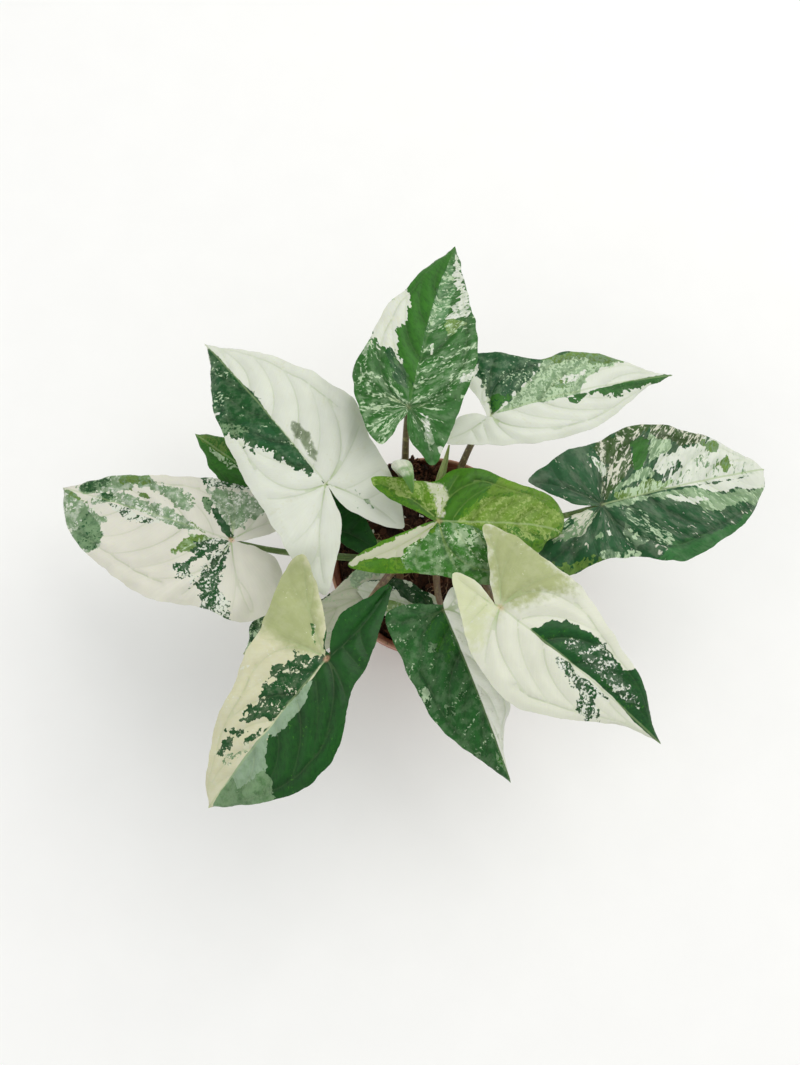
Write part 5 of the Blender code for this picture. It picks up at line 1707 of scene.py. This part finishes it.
def make_roots(draw):
    """Thin dry roots that wander over the soil."""
    roots = Shell()
    for n in range(DRY_ROOTS):
        x, y = on_soil(draw, ROOT_REACH)[:2]
        way = draw.uniform(0, 2 * math.pi)
        path = []
        for k in range(ROOT_POINTS):
            path.append((x, y, soil_at(x, y) + LITTER_LIFT + ROOT_WAVE * math.sin(k + n)))
            way += draw.normal() * ROOT_TURN
            x += ROOT_STEP * math.cos(way)
            y += ROOT_STEP * math.sin(way)
            if math.hypot(x, y) > ROOT_LIMIT:
                break
        if len(path) > 3:
            radii = ROOT_RADIUS * np.linspace(1.0, 0.5, len(path))
            roots.add(*tube(path, radii, radii, 6)[:2])
    roots.piece("dry_roots", [root_material()])


def perlite_material():
    """White grains with small pores."""
    p = Paint("perlite_grain")
    pores = p.cells(p.place(), 1400.0)
    base = p.mix(p.span(pores, 0.1, 0.5), TINTS["perlite_shade"], TINTS["perlite"])
    p.set(Base_Color=base, Roughness=0.85, Normal=p.bump(pores, 0.0003, 0.8))
    return p.finish


def root_material():
    """Dry root, pale and brown in turns."""
    p = Paint("dry_root")
    bits = p.noise(p.place(), 600.0, 3.0, 0.6)
    base = p.mix(p.span(bits, 0.35, 0.65), TINTS["root_dark"], TINTS["root_light"])
    p.set(Base_Color=base, Roughness=0.8, Normal=p.bump(bits, 0.0002, 0.6))
    return p.finish


# Stage, in metres

PHOTO_HEIGHT = 1065
FOCAL_PIXELS = 1060.0
SENSOR = 36.0
CAMERA_PLACE = (-0.01189, -0.08618, 0.47915)
CAMERA_DOWN = 77.0      # degrees that the camera looks down
FLOOR_SIZE = 6.0
WORLD_LIGHT = 0.65
WORLD_COLOUR = (0.98, 0.99, 1.0, 1.0)
LAMP_COLOUR = (1.0, 0.985, 0.96)
LAMP_AIM = (0.0, 0.0, 0.08)
# Lamps: name, place, size and power in watts
LAMPS = [
    ("key", (0.9, 0.75, 1.7), 1.7, 22.0),
    ("fill", (-1.3, -0.6, 1.5), 1.6, 7.0),
]


def make_floor():
    """A plain pale floor, which isn't part of the plant."""
    bpy.ops.mesh.primitive_plane_add(size=FLOOR_SIZE)
    floor = bpy.context.object
    floor.name = "floor"
    p = Paint("floor_paint")
    speck = p.noise(p.place(), 40.0, 3.0, 0.5)
    p.set(Base_Color=p.mix(speck, TINTS["floor"], TINTS["floor_light"]), Roughness=0.8)
    floor.data.materials.append(p.finish)


def make_lights():
    """Soft light from above and a little from all round."""
    scene = bpy.context.scene
    scene.view_settings.view_transform = "Standard"
    scene.world = bpy.data.worlds.new("studio")
    scene.world.use_nodes = True
    sky = scene.world.node_tree.nodes["Background"]
    sky.inputs["Color"].default_value = WORLD_COLOUR
    sky.inputs["Strength"].default_value = WORLD_LIGHT
    for name, place, size, power in LAMPS:
        lamp = bpy.data.lights.new(name, "AREA")
        lamp.energy = power
        lamp.size = size
        lamp.color = LAMP_COLOUR
        light = bpy.data.objects.new(name, lamp)
        light.location = place
        aim = Vector(LAMP_AIM) - Vector(place)
        light.rotation_euler = aim.to_track_quat("-Z", "Y").to_euler()
        scene.collection.objects.link(light)


def make_camera():
    """The camera at the photograph's angle."""
    lens = bpy.data.cameras.new("camera")
    lens.sensor_fit = "VERTICAL"
    lens.sensor_height = SENSOR
    lens.lens = SENSOR * FOCAL_PIXELS / PHOTO_HEIGHT
    lens.clip_start = 0.01
    camera = bpy.data.objects.new("camera", lens)
    camera.location = CAMERA_PLACE
    camera.rotation_euler = (math.radians(90.0 - CAMERA_DOWN), 0.0, 0.0)
    bpy.context.scene.collection.objects.link(camera)
    bpy.context.scene.camera = camera


for number, leaf in enumerate(LEAVES):
    make_leaf(leaf, number)
make_roll("new_spear", SPEAR_PATH, SPEAR_TINTS, seam=0.2)
make_roll("leaf_curl", CURL_PATH, CURL_TINTS, seam=0.3)
make_pot()
make_soil()
litter = np.random.default_rng(LITTER_SEED)
make_bark(litter)
make_perlite(litter)
make_roots(litter)
make_floor()
make_lights()
make_camera()
